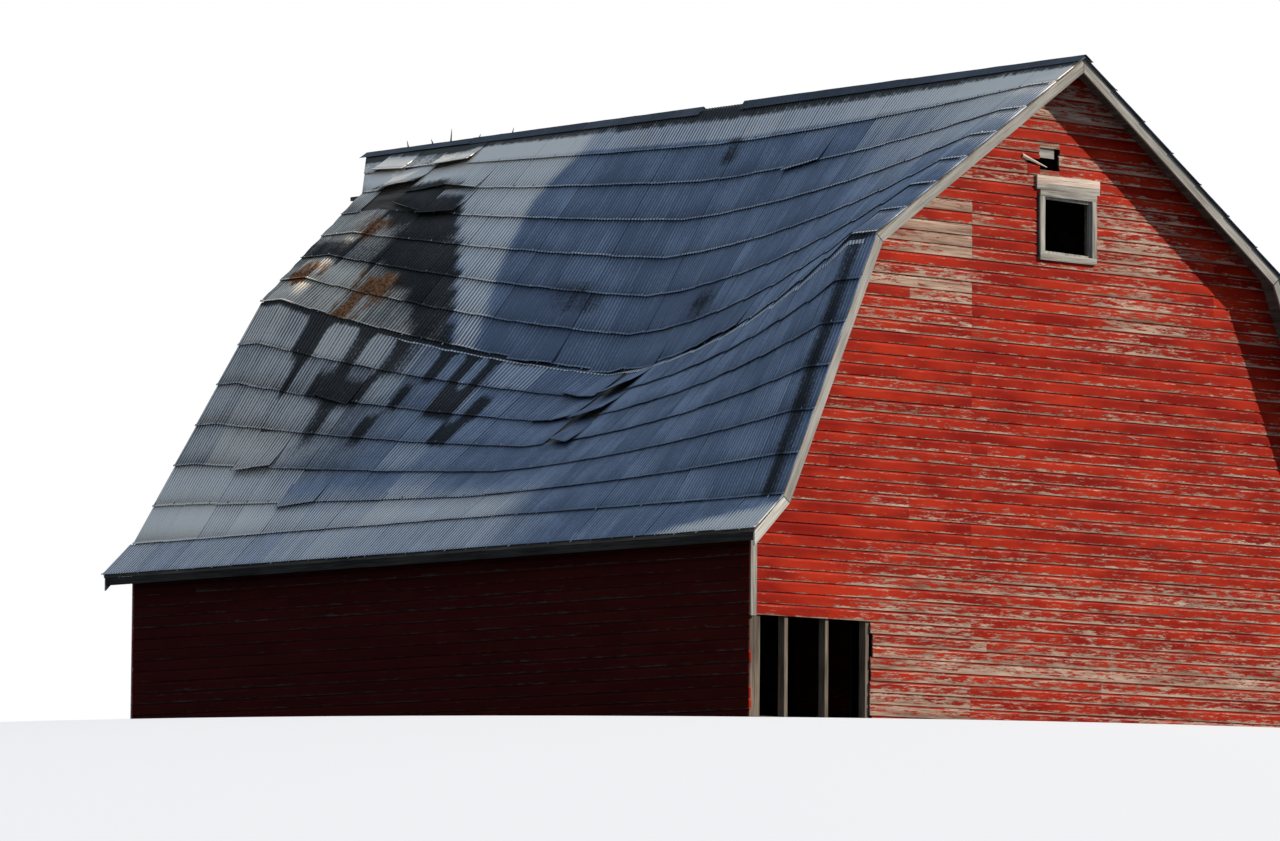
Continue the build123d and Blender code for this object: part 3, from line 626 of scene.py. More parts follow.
def zinc_group() -> bpy.types.NodeTree:
    """Dull zinc with streaks down the slope, rust and black stains where its zones say.

    Returns:
        The group.
    """
    # Its zones carry painted sunlight and painted shadow as well as real weathering.
    maker, start = new_group("StainedZinc", {"Place": VECTOR, "Pale": FLOAT, "Stain": FLOAT,
                                             "Rust": FLOAT, "Bright": COLOUR,
                                             "Light": COLOUR, "Dark": COLOUR})
    given = start.outputs
    place, pale = given["Place"], given["Pale"]
    streaks = maker.noise(place, (13.0, 0.8, 3.0), 1.0, 5.0, 0.6)
    blotch = maker.noise(place, (1.1, 0.9, 7.0), 1.3, 4.0, 0.55)
    specks = maker.noise(place, (30.0, 22.0, 1.0), 1.2, 3.0, 0.6)
    grit = maker.noise(place, (36.0, 26.0, 1.0), 1.2, 2.0, 0.6)
    patches = maker.noise(place, (7.0, 1.9, 3.0), 1.0, 5.0, 0.62)
    mottle = maker.total((streaks, 0.5), (specks, 0.5))
    cloud = maker.ramp(maker.total((streaks, 0.28), (blotch, 0.5), (grit, 0.25)), 0.3, 0.72)
    # Darker in the valleys of the corrugation: dirt, and painted shade that deepens the relief.
    wave = maker.math("COSINE", maker.total((maker.parts(place)[0], 2 * math.pi / WAVE)))
    valley_dirt_and_shade = maker.math("MULTIPLY", maker.total((wave, -1.0), base=1.0),
                      maker.total((pale, 0.26), base=0.34))
    tone = maker.total((cloud, 1.0), (pale, 1.0), (valley_dirt_and_shade, -1.0))
    # Pale sheets, painted highlights and painted sunlight take the pale tone.
    pale_and_sunlit = maker.total((pale, 1.0), (mottle, 0.5), (valley_dirt_and_shade, -0.8))
    zinc = maker.mix(maker.ramp(pale_and_sunlit, 0.34, 0.86),
                     maker.mix(tone, given["Dark"], given["Light"]), given["Bright"])
    drabness = maker.total((maker.ramp(given["Rust"], 0.03, 0.14), 0.9))
    zinc = maker.mix(drabness, zinc, maker.mix(tone, *DRAB))
    rust = maker.ramp(maker.math("ADD", patches, given["Rust"]), 0.77, 0.97)
    zinc = maker.mix(rust, zinc, maker.mix(maker.ramp(specks, 0.35, 0.65), *OCHRE))
    # Black stains, and painted shadow under the knuckle, take the soot colour.
    stain = maker.ramp(maker.math("ADD", mottle, given["Stain"]), 0.86, 1.20)
    soot_and_shade = maker.mix(maker.ramp(specks, 0.45, 0.75), *SOOT_AND_SHADE)
    worn = maker.math("MAXIMUM", rust, stain)
    maker.add("NodeGroupOutput", {"Color": maker.mix(maker.total((stain, 0.92)), zinc, soot_and_shade),
                                  "Roughness": maker.total((worn, 0.32), base=0.5),
                                  "Metallic": maker.total((worn, -0.4), base=0.4),
                                  "Height": specks})
    return maker.tree


@dataclass(frozen=True)
class WoodFinish:
    """Bare wood: its lighter and darker tone."""

    name: str
    light: Triple
    dark: Triple


@dataclass(frozen=True)
class PaintFinish:
    """Paint over bare wood: fresh and faded tone."""

    name: str
    paint: Triple
    faded: Triple
    wood: WoodFinish


@dataclass(frozen=True)
class ZincFinish:
    """Galvanised sheet: pale tone, also painted sunlight, and its light and dark tone."""

    name: str
    bright: Triple
    light: Triple
    dark: Triple


GREY_BOARD = WoodFinish("grey_board", (0.50, 0.47, 0.41), (0.17, 0.155, 0.135))
# Painted shade: near-black boards for the fascias and soffits under the eaves.
EAVE_BOARD_PAINTED_SHADE = WoodFinish("eave_board", (0.062, 0.055, 0.044), (0.018, 0.016, 0.013))
RAKE_BOARD = WoodFinish("rake_board", (0.44, 0.415, 0.37), (0.20, 0.185, 0.16))
FLARE_BOARD = WoodFinish("flare_board", (0.76, 0.72, 0.65), (0.40, 0.37, 0.32))
TIMBER = WoodFinish("timber", (0.27, 0.215, 0.16), (0.075, 0.058, 0.044))
FLOOR_BOARD = WoodFinish("floor_board", (0.33, 0.27, 0.20), (0.11, 0.085, 0.062))
ROOF_BOARD = WoodFinish("roof_board", (0.20, 0.165, 0.13), (0.055, 0.044, 0.035))
NEW_BOARD = WoodFinish("new_board", (0.78, 0.63, 0.53), (0.44, 0.33, 0.26))
SIDING_WOOD = WoodFinish("siding_wood", (0.56, 0.40, 0.30), (0.17, 0.085, 0.058))
# Painted shade: darker wood for the left wall, which stands in shade.
PAINTED_SHADE_WOOD = WoodFinish("shade_wood", (0.09, 0.07, 0.057), (0.03, 0.023, 0.02))
SIDING_PAINT = PaintFinish("siding", (0.21, 0.006, 0.002), (0.43, 0.026, 0.0075), SIDING_WOOD)
# Painted shade: darker paint for the left wall.
PAINTED_SHADE_SIDING = PaintFinish("shade_siding", (0.05, 0.003, 0.002), (0.07, 0.006, 0.004),
                          PAINTED_SHADE_WOOD)
# The pale tone of the roof also serves as painted sunlight.
ROOF_ZINC = ZincFinish("roof_zinc", (1.0, 0.92, 0.81), (0.385, 0.46, 0.585),
                       (0.13, 0.167, 0.238))
CAP_ZINC = ZincFinish("cap_zinc", (0.30, 0.32, 0.35), (0.11, 0.13, 0.17), (0.03, 0.04, 0.055))


class Paintbox:
    """Makes each finish once and hands out its material."""

    def __init__(self) -> None:
        """Makes the three shader groups."""
        self.wood = wood_group()
        self.paint = paint_group()
        self.zinc = zinc_group()
        self.made: dict[str, Material] = {}

    def _make(self, name: str, kind: Surface,
              dress: Callable[[NodeMaker], bpy.types.Node]) -> Material:
        """Material of this name, made when it is first asked for.

        Args:
            name: Name of the material.
            kind: Kind of surface, for its relief and its sheen.
            dress: Adds the node of the surface to the material's tree.

        Returns:
            The material.
        """
        if name not in self.made:
            material = bpy.data.materials.new(name)
            material.use_nodes = True
            maker = NodeMaker(material.node_tree)
            look = dress(maker).outputs
            relief = maker.add("ShaderNodeBump", {"Height": look["Height"], "Strength": 1.0,
                                                  "Distance": kind.relief})
            maker.feed(material.node_tree.nodes["Principled BSDF"], {
                "Base Color": look["Color"], "Roughness": look["Roughness"],
                "Metallic": look["Metallic"], "Normal": relief.outputs["Normal"],
                "Specular IOR Level": kind.sheen})
            self.made[name] = material
        return self.made[name]

    def _wood(self, maker: NodeMaker, finish: WoodFinish, place: Socket) -> bpy.types.Node:
        """Node of bare wood at these coordinates."""
        return maker.add("ShaderNodeGroup", {"Place": place, "Light": opaque(finish.light),
                                             "Dark": opaque(finish.dark)}, node_tree=self.wood)

    def bare(self, finish: WoodFinish, grain: Grain = Grain.X) -> Material:
        """Material of bare wood whose grain follows an axis of the barn."""
        return self._make(f"{finish.name}_{grain.name.lower()}", Surface.WOOD,
                          lambda maker: self._wood(maker, finish, maker.place(grain)))

    def painted(self, finish: PaintFinish) -> Material:
        """Material of painted boards, which reads each board's own place and wear.

        Args:
            finish: The paint and its wood.

        Returns:
            The material.
        """
        def dress(maker: NodeMaker) -> bpy.types.Node:
            """Paint over the node of its wood."""
            place = maker.place(Grain.OWN)
            wood = self._wood(maker, finish.wood, place).outputs
            return maker.add("ShaderNodeGroup", {
                "Place": place, "Wear": maker.attribute("board_wear", "Fac"),
                "Paint": opaque(finish.paint), "Faded": opaque(finish.faded),
                "Wood": wood["Color"], "Wood Height": wood["Height"]}, node_tree=self.paint)
        return self._make(finish.name, Surface.PAINT, dress)

    def metal(self, finish: ZincFinish) -> Material:
        """Material of zinc sheets, which reads each sheet's own place and zones.

        Args:
            finish: The zinc.

        Returns:
            The material.
        """
        def dress(maker: NodeMaker) -> bpy.types.Node:
            """Zinc with the zones of its sheets."""
            pale, stain, rust = maker.parts(maker.attribute("sheet_zones"))
            return maker.add("ShaderNodeGroup", {
                "Place": maker.attribute("sheet_place"), "Pale": pale, "Stain": stain,
                "Rust": rust, "Bright": opaque(finish.bright), "Light": opaque(finish.light),
                "Dark": opaque(finish.dark)}, node_tree=self.zinc)
        return self._make(finish.name, Surface.ZINC, dress)


# Meshes and pieces


def sheet_mesh() -> tuple[Mesh, tuple]:
    """Empty mesh of sheets, and its layers for the place and the zones of a vert.

    Returns:
        The mesh, and its two layers.
    """
    mesh = bmesh.new()
    vectors = mesh.verts.layers.float_vector
    return mesh, (vectors.new("sheet_place"), vectors.new("sheet_zones"))


def board_mesh() -> tuple[Mesh, tuple]:
    """Empty mesh of boards, and its layers for the place and the wear of a vert.

    Returns:
        The mesh, and its two layers.
    """
    mesh = bmesh.new()
    layers = mesh.verts.layers
    return mesh, (layers.float_vector.new("board_place"), layers.float.new("board_wear"))


def add_box(mesh: Mesh, low: Iterable[float], high: Iterable[float]) -> list:
    """Adds a box between two corners and returns its verts.

    Args:
        mesh: The mesh that it is added to.
        low: Its lowest corner.
        high: Its highest corner.

    Returns:
        Its verts.
    """
    low, high = Vector(low), Vector(high)
    size = Matrix.Diagonal((*(high - low), 1.0))
    return bmesh.ops.create_cube(mesh, size=1.0, matrix=Matrix.Translation((low + high) / 2)
                                 @ size)["verts"]


def add_grid(mesh: Mesh, columns: int, rows: int) -> list:
    """Adds a level grid of side 1 about the origin and returns its verts."""
    return bmesh.ops.create_grid(mesh, x_segments=columns, y_segments=rows,
                                 size=0.5)["verts"]


def add_splinter(mesh: Mesh, radii: Point, length: float, squash: Triple,
                 place: Matrix) -> list:
    """Adds a thin pointed strip and returns its verts.

    Args:
        mesh: The mesh that it is added to.
        radii: Its half widths at the root and at the tip.
        length: Its length.
        squash: Factors that flatten it.
        place: Its place and turn.

    Returns:
        Its verts.
    """
    return bmesh.ops.create_cone(mesh, cap_ends=True, segments=4, radius1=radii[0],
                                 radius2=radii[1], depth=length,
                                 matrix=place @ Matrix.Diagonal((*squash, 1.0)))["verts"]


def round_edges(mesh: Mesh, width: float) -> None:
    """Rounds all the edges of a mesh."""
    bmesh.ops.bevel(mesh, geom=mesh.edges[:], offset=width, segments=2, profile=0.5,
                    affect="EDGES", material=-1)


def faces_of(verts: Iterable[bmesh.types.BMVert]) -> list:
    """The faces that use any of these verts."""
    return list({face for vert in verts for face in vert.link_faces})


def add_object(name: str, data: bpy.types.ID) -> bpy.types.Object:
    """New object in the scene that shows this data.

    Args:
        name: Name of the object.
        data: What it shows.

    Returns:
        The object.
    """
    made = bpy.data.objects.new(name, data)
    bpy.context.scene.collection.objects.link(made)
    return made


def mesh_object(name: str, mesh: Mesh, material: Material) -> bpy.types.Object:
    """New object of a bmesh, which is freed, with one material.

    Args:
        name: Name of the object.
        mesh: Its shape.
        material: Its one material.

    Returns:
        The object.
    """
    data = bpy.data.meshes.new(name)
    mesh.to_mesh(data)
    mesh.free()
    data.materials.append(material)
    return add_object(name, data)


def add_piece(name: str, mesh: Mesh, material: Material, slot: str, *nodes: str) -> None:
    """Turns a bmesh into a piece that rides on the barn.

    Args:
        name: Name of the piece.
        mesh: Its shape in the frame of the CAD. It is freed.
        material: Its one material.
        slot: Name of a material slot. It is not used.
        *nodes: CAD nodes that the piece stands for.
    """
    piece = mesh_object(name, mesh, material)
    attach(piece, ROOT)
    if nodes:
        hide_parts(*nodes)
    LOG.info("%s: %d faces", name, len(piece.data.polygons))


# Where sheets and boards are weathered, and where sunlight and shadow are painted on the roof


@dataclass(frozen=True)
class Fade:
    """Smooth rise from 0 at its start to 1 at its end."""

    start: float
    end: float

    def at(self, value: float) -> float:
        """Its height at a value."""
        return smooth(self.start, self.end, value)


@dataclass(frozen=True)
class Hump:
    """Smooth hump of height 1 at its middle that ends half its width from it."""

    middle: float
    half: float

    def at(self, value: float) -> float:
        """Its height at a value."""
        return bump(self.middle, self.half, value)


@dataclass(frozen=True)
class Mark:
    """Weathered part of a slope or wall, or part of the roof with painted sunlight or shadow.

    It spans a way along the surface and, by its level, some course lines or some height. Its
    strength grows with the random number of the sheet or board where chance is not 0.
    """

    strength: float
    along: Fade | Hump | None = None
    level: Fade | Hump | None = None
    chance: float = 0.0

    def at(self, along: float, level: float, chance: float) -> float:
        """Its strength at a place of a sheet or board with this random number.

        Args:
            along: Distance from the front rake, or X on a gable.
            level: Course line or height.
            chance: Random number of the sheet or board.

        Returns:
            The strength.
        """
        value = self.strength + self.chance * chance
        for span, place in ((self.along, along), (self.level, level)):
            if span:
                value *= span.at(place)
        return value


@dataclass(frozen=True)
class Profile:
    """Broken line of values over the course lines."""

    points: tuple[Point, ...]

    def at(self, line: float) -> float:
        """Value at a course line, level beyond the ends.

        Args:
            line: Course lines from the ridge down.

        Returns:
            The value.
        """
        if line <= self.points[0][0]:
            return self.points[0][1]
        for (low, start), (high, end) in zip(self.points, self.points[1:]):
            if line <= high:
                return start + (end - start) * (line - low) / (high - low)
        return self.points[-1][1]


@dataclass(frozen=True)
class Zones:
    """Marks that make a slope paler, darker or rusty, with painted sunlight and shadow."""

    pale: tuple[Mark, ...] = ()
    stain: tuple[Mark, ...] = ()
    rust: tuple[Mark, ...] = ()


RIGHT_ZONES = Zones(stain=(Mark(0.12, level=Fade(8.0, 13.0)), Mark(0.4, level=Fade(0.6, 0.25))))
LEFT_ZONES = {
    Slope.UPPER: Zones(
        # The first three pale marks are painted light near the ridge and at the front.
        pale=(Mark(0.75, level=Fade(1.05, 0.9)), Mark(0.18, Fade(4.6, 0.0)),
              Mark(0.75, Fade(4.6, 0.5), Fade(5.0, 0.3)),
              Mark(-0.25, Fade(2.0, 4.0), Fade(3.8, 5.5)),
              Mark(0.45, Fade(9.6, 10.6), Fade(3.1, 2.7))),
        stain=(Mark(0.74, level=Fade(0.62, 0.25)),
               Mark(0.0, Fade(10.1, 10.7), Fade(2.5, 1.9), 0.42),
               Mark(0.9, Hump(5.5, 0.42), Hump(1.3, 0.6)),
               Mark(0.434, Hump(4.5, 0.9), Hump(5.6, 1.3), 0.31),
               Mark(0.434, Hump(6.9, 1.1), Hump(5.2, 1.2), 0.31))),
    Slope.LOWER: Zones(
        pale=(Mark(0.05), Mark(0.4, Fade(9.3, 10.2)),
              Mark(0.0, Fade(8.6, 10.4), Fade(8.5, 11.0), 0.5),
              Mark(0.7, Fade(3.9, 5.2), Fade(11.2, 12.6))),
        # The second mark is painted shadow under the knuckle.
        stain=(Mark(0.12, Fade(5.0, 5.6), Fade(9.8, 8.8)), Mark(0.5, level=Fade(7.16, 7.05)),
               Mark(0.15, Fade(0.36, 0.22))),
        rust=(Mark(0.09, Fade(6.2, 9.4), Fade(12.6, 10.6)),)),
    # The second pale mark is painted sunlight on the flare, away from the front.
    Slope.FLARE: Zones(pale=(Mark(0.1), Mark(0.5, Fade(3.6, 5.2))),
                       stain=(Mark(0.25, Hump(0.45, 0.3), Fade(13.5, 13.1)),)),
}
# Borders on the upper slope, along the roof: painted sunlit patch, then burnt, then drab sheets.
SUNLIT_FROM = Profile(((1.0, 8.3), (2.4, 8.55), (4.0, 8.38), (5.2, 8.2), (6.8, 7.85)))
BURNT_FROM = Profile(((2.0, 10.05), (4.0, 9.24), (6.8, 8.25)))
BURNT_TO = Profile(((3.0, 10.9), (3.9, 10.5), (4.8, 10.2), (5.8, 9.5), (6.8, 8.9)))
# Rusty places of the upper slope, by the row of sheets.
RUSTED = {3: (Hump(10.95, 0.55),), 5: (Hump(10.0, 0.75), Hump(11.3, 0.5)),
          6: (Hump(10.15, 0.42),)}
DARK_ROW = 4
# Black streaks down the lower slope, by the row of sheets: where each starts and ends.
SOOTED = {7: ((10.21, 10.57), (9.45, 9.71), (8.61, 9.05), (8.08, 8.3), (7.71, 7.9),
              (7.38, 7.56)),
          8: ((10.27, 10.41), (8.98, 9.95), (8.31, 8.5), (7.4, 7.87), (6.98, 7.25)),
          9: ((9.3, 9.6), (8.49, 8.75), (7.08, 7.43))}
SOOT_EDGE = 0.07
# Bare and worn places of the front gable, by X and height.
WORN = (Mark(0.04, Fade(-1.2, -1.6), Hump(5.6, 1.3), 0.10),
        Mark(0.14, Hump(1.1, 1.3), Hump(5.4, 1.6)),
        Mark(0.0, Hump(-0.4, 0.9), Hump(6.6, 0.55), 0.13),
        Mark(0.0, None, Fade(6.4, 6.9), 0.10),
        Mark(0.10, Fade(-4.2, -2.8), Fade(2.4, 1.0)),
        Mark(-0.08, Fade(-2.9, -3.7), Fade(3.4, 2.4)))
BARE_PATCH = Mark(0.16, Hump(-1.5, 1.9), Hump(5.6, 0.95))
PATCH_EDGE = -1.47


# Roof sheets


@dataclass(frozen=True)
class Damage:
    """What has happened to one sheet: how far it is lifted, slipped and turned, or gone."""

    course: int
    index: int
    lift: float = 0.0
    slip: float = 0.0
    skew: float = 0.0
    narrow: float = 0.0
    gone: bool = False


@dataclass(frozen=True)
class Sheet:
    """One sheet: its course, its ends along the roof, its random numbers and its damage."""

    course: int
    index: int
    first: float
    last: float
    chances: Point
    jitter: list[float]
    damage: Damage


@dataclass
class SheetRoof:
    """The courses of corrugated sheets on one slope of one side."""

    shape: RoofShape
    side: Side
    slope: Slope
    damages: tuple[Damage, ...] = ()
    wave: float = WAVE
    waves_wide: int = 12
    facets_per_wave: int = 4
    wave_height: float = 0.0055
    thick: float = 0.0012
    top_rise: float = 0.007
    foot_rise: float = 0.019
    foot_lap: float = 0.045
    end_lap: float = 0.006
    over_rise: float = 0.002
    overhang: float = 0.03
    hem: float = 0.024
    hem_thick: float = 0.003
    exposure: float = 0.56
    loose: Triple = (0.004, 0.005, 0.003)
    clip_pitch: float = 0.355
    clip_stray: float = 0.03
    clip: Triple = (0.012, 0.03, 0.004)
    clip_zones: Triple = (0.35, 0.0, 0.0)
    rows_first: int = 6
    rows: int = 2
    pale_chance: float = 0.3
    stain_chance: float = 0.06
    hem_pale: float = -0.1
    upper_hem_highlight: float = 0.4

    def __post_init__(self) -> None:
        """Finds its lines and its weathering, and seeds its random numbers."""
        self.harm = {(damage.course, damage.index): damage for damage in self.damages}
        self.marks = LEFT_ZONES[self.slope] if self.side is Side.LEFT else RIGHT_ZONES
        self.lines = self.shape.lines(self.side, self.slope)
        self.random = random.Random(f"{self.side.name} {self.slope.name}")

    def zones(self, line: float, along: float, middle: float, chances: Point) -> Vector:
        """Pale, dark and rust values of a place on the roof, painted light included.

        Args:
            line: Course lines from the ridge down.
            along: Distance from the front rake.
            middle: The same distance for the middle of the sheet.
            chances: Two random numbers of the sheet, 0 to 1.

        Returns:
            The three values as a vector.
        """
        chance, other = chances
        marks = self.marks
        zones = Vector([sum(mark.at(along, line, other) for mark in part)
                        for part in (marks.pale, marks.stain, marks.rust)])
        zones += Vector(((chance - 0.5) * self.pale_chance, other * self.stain_chance, 0.0))
        if self.side is Side.RIGHT:
            zones.y += 0.3 * smooth(0.9, 1.0, other)
        elif self.slope is Slope.UPPER:
            zones += self._upper_zones(line, along, middle, chances)
        elif self.slope is Slope.LOWER:
            zones += self._lower_zones(line, along, middle, chance)
        else:
            # Paler lower corner at the front.
            corner = smooth(0.05, 0.3, line - 13.1 - 0.4 * along)
            zones.x += 1.2 * corner * smooth(2.2, 1.0, along)
        return zones

    def _upper_zones(self, line: float, along: float, middle: float,
                     chances: Point) -> Vector:
        """What the painted sunlit patch and the burnt and drab sheets of the upper slope add.

        Args:
            line: Course lines from the ridge down.
            along: Distance from the front rake.
            middle: The same distance for the middle of the sheet.
            chances: Two random numbers of the sheet.

        Returns:
            Pale, stain and rust as a vector.
        """
        chance, other = chances
        sunlit_edge, burnt, beyond = (profile.at(line) for profile in
                                 (SUNLIT_FROM, BURNT_FROM, BURNT_TO))
        row = int(line - 0.1)
        near = 0.88 * along + 0.12 * middle
        below = smooth(1.75, 2.05, line + 0.35 * (other - 0.5))
        lower = smooth(4.0, 4.8, line)
        west = below * smooth(beyond - 0.1, beyond + 0.3, near)
        # Painted sunlight: pale up to the burnt sheets and above them.
        pale = smooth(sunlit_edge - 0.13, sunlit_edge + 0.13, along) * (
            1.0 - 0.75 * below * smooth(burnt - 0.1, burnt + 0.1, near))
        # Black on the burnt sheets, then between the drab ones.
        uneven = ripple(along * 2.6, row * 1.9, 7.5)
        stain = (0.80 + 0.42 * uneven) * below * smooth(burnt - 0.12, burnt + 0.06, near)
        stain *= 1 - smooth(beyond - 0.08, beyond + 0.25, near)
        stain += 0.34 * west * smooth(0.23, 0.3, abs(along - middle))
        if row == DARK_ROW:
            stain += west * (0.3 + 0.3 * chance)
        else:
            stain += 0.2 * west * (1 - lower)
            pale += west * (0.12 + 0.5 * lower * (0.55 + chance))
        # Rust in patches, and the brown film that makes zinc drab.
        rust = 0.4 * sum(hump.at(along) for hump in RUSTED.get(row, ()))
        rust += 0.12 * below * smooth(burnt - 0.1, burnt + 0.2, near)
        return Vector((pale, stain, rust))

    def _lower_zones(self, line: float, along: float, middle: float,
                     chance: float) -> Vector:
        """What the streaks, painted knuckle shadow and dark front edge add to the lower slope.

        Args:
            line: Course lines from the ridge down.
            along: Distance from the front rake.
            middle: The same distance for the middle of the sheet.
            chance: Random number of the sheet.

        Returns:
            Pale, dark and rust values as a vector, the dark one with painted shadow.
        """
        row = int(line - 0.1)
        west = smooth(6.0, 7.2, middle)
        streak = ripple(along * 2.1 + row * 0.35, row * 2.7, 1.5)
        # Black streaks, some dark sheets below them, and painted shadow under the knuckle.
        stain = (0.7 + 0.35 * streak) * sum(
            smooth(start - SOOT_EDGE, start + SOOT_EDGE, along)
            * smooth(end + SOOT_EDGE, end - SOOT_EDGE, along)
            for start, end in SOOTED.get(row, ()))
        if row > max(SOOTED):
            stain += 0.5 * west * smooth(12.8, 9.5, line) * smooth(0.5, 0.8, chance)
        stain += 0.6 * west * smooth(7.34 + 0.25 * streak, 7.1, line) * (
            1 - 0.5 * smooth(9.3, 10.2, along))
        # Dark band down the slope just behind the front rake.
        stain += 0.56 * bump(0.31 - 0.012 * (line - 7) + 0.03 * streak, 0.32, along)
        return Vector((west * (0.6 * smooth(0.75, 0.1, chance) - 0.06), stain, 0.0))

    def build(self) -> Mesh:
        """Lays all the sheets and their hems, then gives them their thickness.

        Returns:
            The mesh of the slope.
        """
        mesh, self.layers = sheet_mesh()
        sheets, hems = [], []
        for course in range(self.slope.courses):
            faces, edges = self._course(mesh, course)
            sheets += faces
            hems += edges
            self._clips(mesh, course)
        bmesh.ops.recalc_face_normals(mesh, faces=sheets + hems)
        bmesh.ops.solidify(mesh, geom=sheets, thickness=self.thick)
        bmesh.ops.solidify(mesh, geom=hems, thickness=self.hem_thick)
        for face in mesh.faces:
            face.smooth = True
        return mesh

    def _course(self, mesh: Mesh, course: int) -> tuple[list, list]:
        """Lays one course and cuts it off at the rear edge of the roof.

        Args:
            mesh: The mesh that the course is added to.
            course: Its number from the top of the slope.

        Returns:
            The faces of its sheets and those of its hems.
        """
        width = self.wave * self.waves_wide
        start = self.shape.rake_front - self.overhang
        finish = max(line.end for line in self.lines[course:course + 2]) + self.overhang
        sheets, hems = [], []
        for index in range(math.ceil((finish - start) / width)):
            damage = self.harm.get((course, index), Damage(course, index))
            chances = (self.random.random(), self.random.random())
            jitter = [self.random.uniform(-1, 1) for _ in range(3)]
            first = start + index * width
            last = min(first + width + self.wave, finish) - damage.narrow
            if damage.gone or last - first < self.wave:
                continue
            sheet = Sheet(course, index, first, last, chances, jitter, damage)
            sheets += self._grid(mesh, sheet, False)
            hems += self._grid(mesh, sheet, True)
        return self._trim(mesh, course, sheets), self._trim(mesh, course, hems)

    def _trim(self, mesh: Mesh, course: int, faces: list) -> list:
        """Cuts the course off along the line between the rear ends of its two lines.

        Args:
            mesh: The mesh of the course.
            course: Its number.
            faces: The faces to cut.

        Returns:
            The faces that are left.
        """
        top, low = (line.at(line.end + self.overhang)
                    for line in self.lines[course:course + 2])
        normal = (low - top).cross(Vector((self.side.sign * (low.z - top.z), 0.0,
                                           -abs(low.x - top.x)))).normalized()
        if normal.y < 0:
            normal.negate()
        verts = {vert for face in faces for vert in face.verts}
        edges = {edge for face in faces for edge in face.edges}
        cut = bmesh.ops.bisect_plane(mesh, geom=[*verts, *edges, *faces], plane_co=top,
                                     plane_no=normal, clear_outer=True)
        return [item for item in cut["geom"]
                if isinstance(item, bmesh.types.BMFace) and item.is_valid]

    def _clips(self, mesh: Mesh, course: int) -> None:
        """Small clips that hold the lower edges of a course down.

        Args:
            mesh: The mesh that they are added to.
            course: Number of the course.
        """
        top, low = self.lines[course], self.lines[course + 1]
        rise = self.foot_rise + self.wave_height + self.clip[2]
        place = self.shape.rake_front + self.clip_pitch / 2
        while place < low.end:
            here = place + self.random.uniform(-self.clip_stray, self.clip_stray)
            eaveward, along = low.at(here), low.run(here)
            fall = (eaveward - top.at(here)).normalized()
            normal = low.normal(fall, here)
            for vert in bmesh.ops.create_cube(mesh, size=1.0)["verts"]:
                wide, long, high = (vert.co[axis] * self.clip[axis] for axis in range(3))
                vert.co = (eaveward + along * wide + fall * (long + self.foot_lap / 2)
                           + normal * (rise + high))
                vert[self.layers[0]] = (here, course * self.exposure, 0.5)
                vert[self.layers[1]] = self.clip_zones
            place += self.clip_pitch

    def _grid(self, mesh: Mesh, sheet: Sheet, hem: bool) -> list:
        """Faces of one corrugated sheet, or of the folded strip along its lower edge.

        Args:
            mesh: The mesh that it is added to.
            sheet: The sheet.
            hem: Whether to make the folded strip.

        Returns:
            The faces.
        """
        course, damage = sheet.course, sheet.damage
        width = sheet.last - sheet.first
        waves = max(1, round(width / self.wave))
        columns = waves if hem else waves * self.facets_per_wave
        rows = 1 if hem else self.rows if course else self.rows_first
        made = add_grid(mesh, columns, rows)
        top, low = self.lines[course], self.lines[course + 1]
        lift = max(0.0, sheet.jitter[0]) * self.loose[0] + damage.lift
        slip = sheet.jitter[1] * self.loose[1] + damage.slip
        skew = sheet.jitter[2] * self.loose[2] + damage.skew
        foot_lap = self.end_lap if course == self.slope.courses - 1 else self.foot_lap
        middle = sheet.first + width / 2 - self.shape.rake_front
        for vert in made:
            across, down = vert.co.x + 0.5, vert.co.y + 0.5
            place = sheet.first + width * across
            ridgeward = top.at(place)
            fall = low.at(place) - ridgeward
            length = fall.length
            if hem:
                down = 1 + (foot_lap - self.hem * (1 - down)) / length
                wave = self.wave_height
            else:
                down *= 1 + foot_lap / length
                wave = self.wave_height * math.cos(2 * math.pi * place / self.wave)
            rise = self.top_rise + (self.foot_rise - self.top_rise) * down + wave
            rise += self.over_rise * (sheet.index % 2) + lift * down * down
            moved = slip + skew * (across - 0.5) * 2
            vert.co = (ridgeward + fall * (down + moved / length)
                       + top.normal(fall, place) * rise)
            zone = self.zones(self.slope.first_line + course + down,
                              place - self.shape.rake_front, middle, sheet.chances)
            # Hems of the upper slope are paler, a painted highlight along their edge; the others a
            # little darker.
            if hem:
                zone.x += self.upper_hem_highlight if self.slope is Slope.UPPER else self.hem_pale
            vert[self.layers[0]] = (place, (course + down) * self.exposure, sheet.chances[0])
            vert[self.layers[1]] = zone
        return faces_of(made)


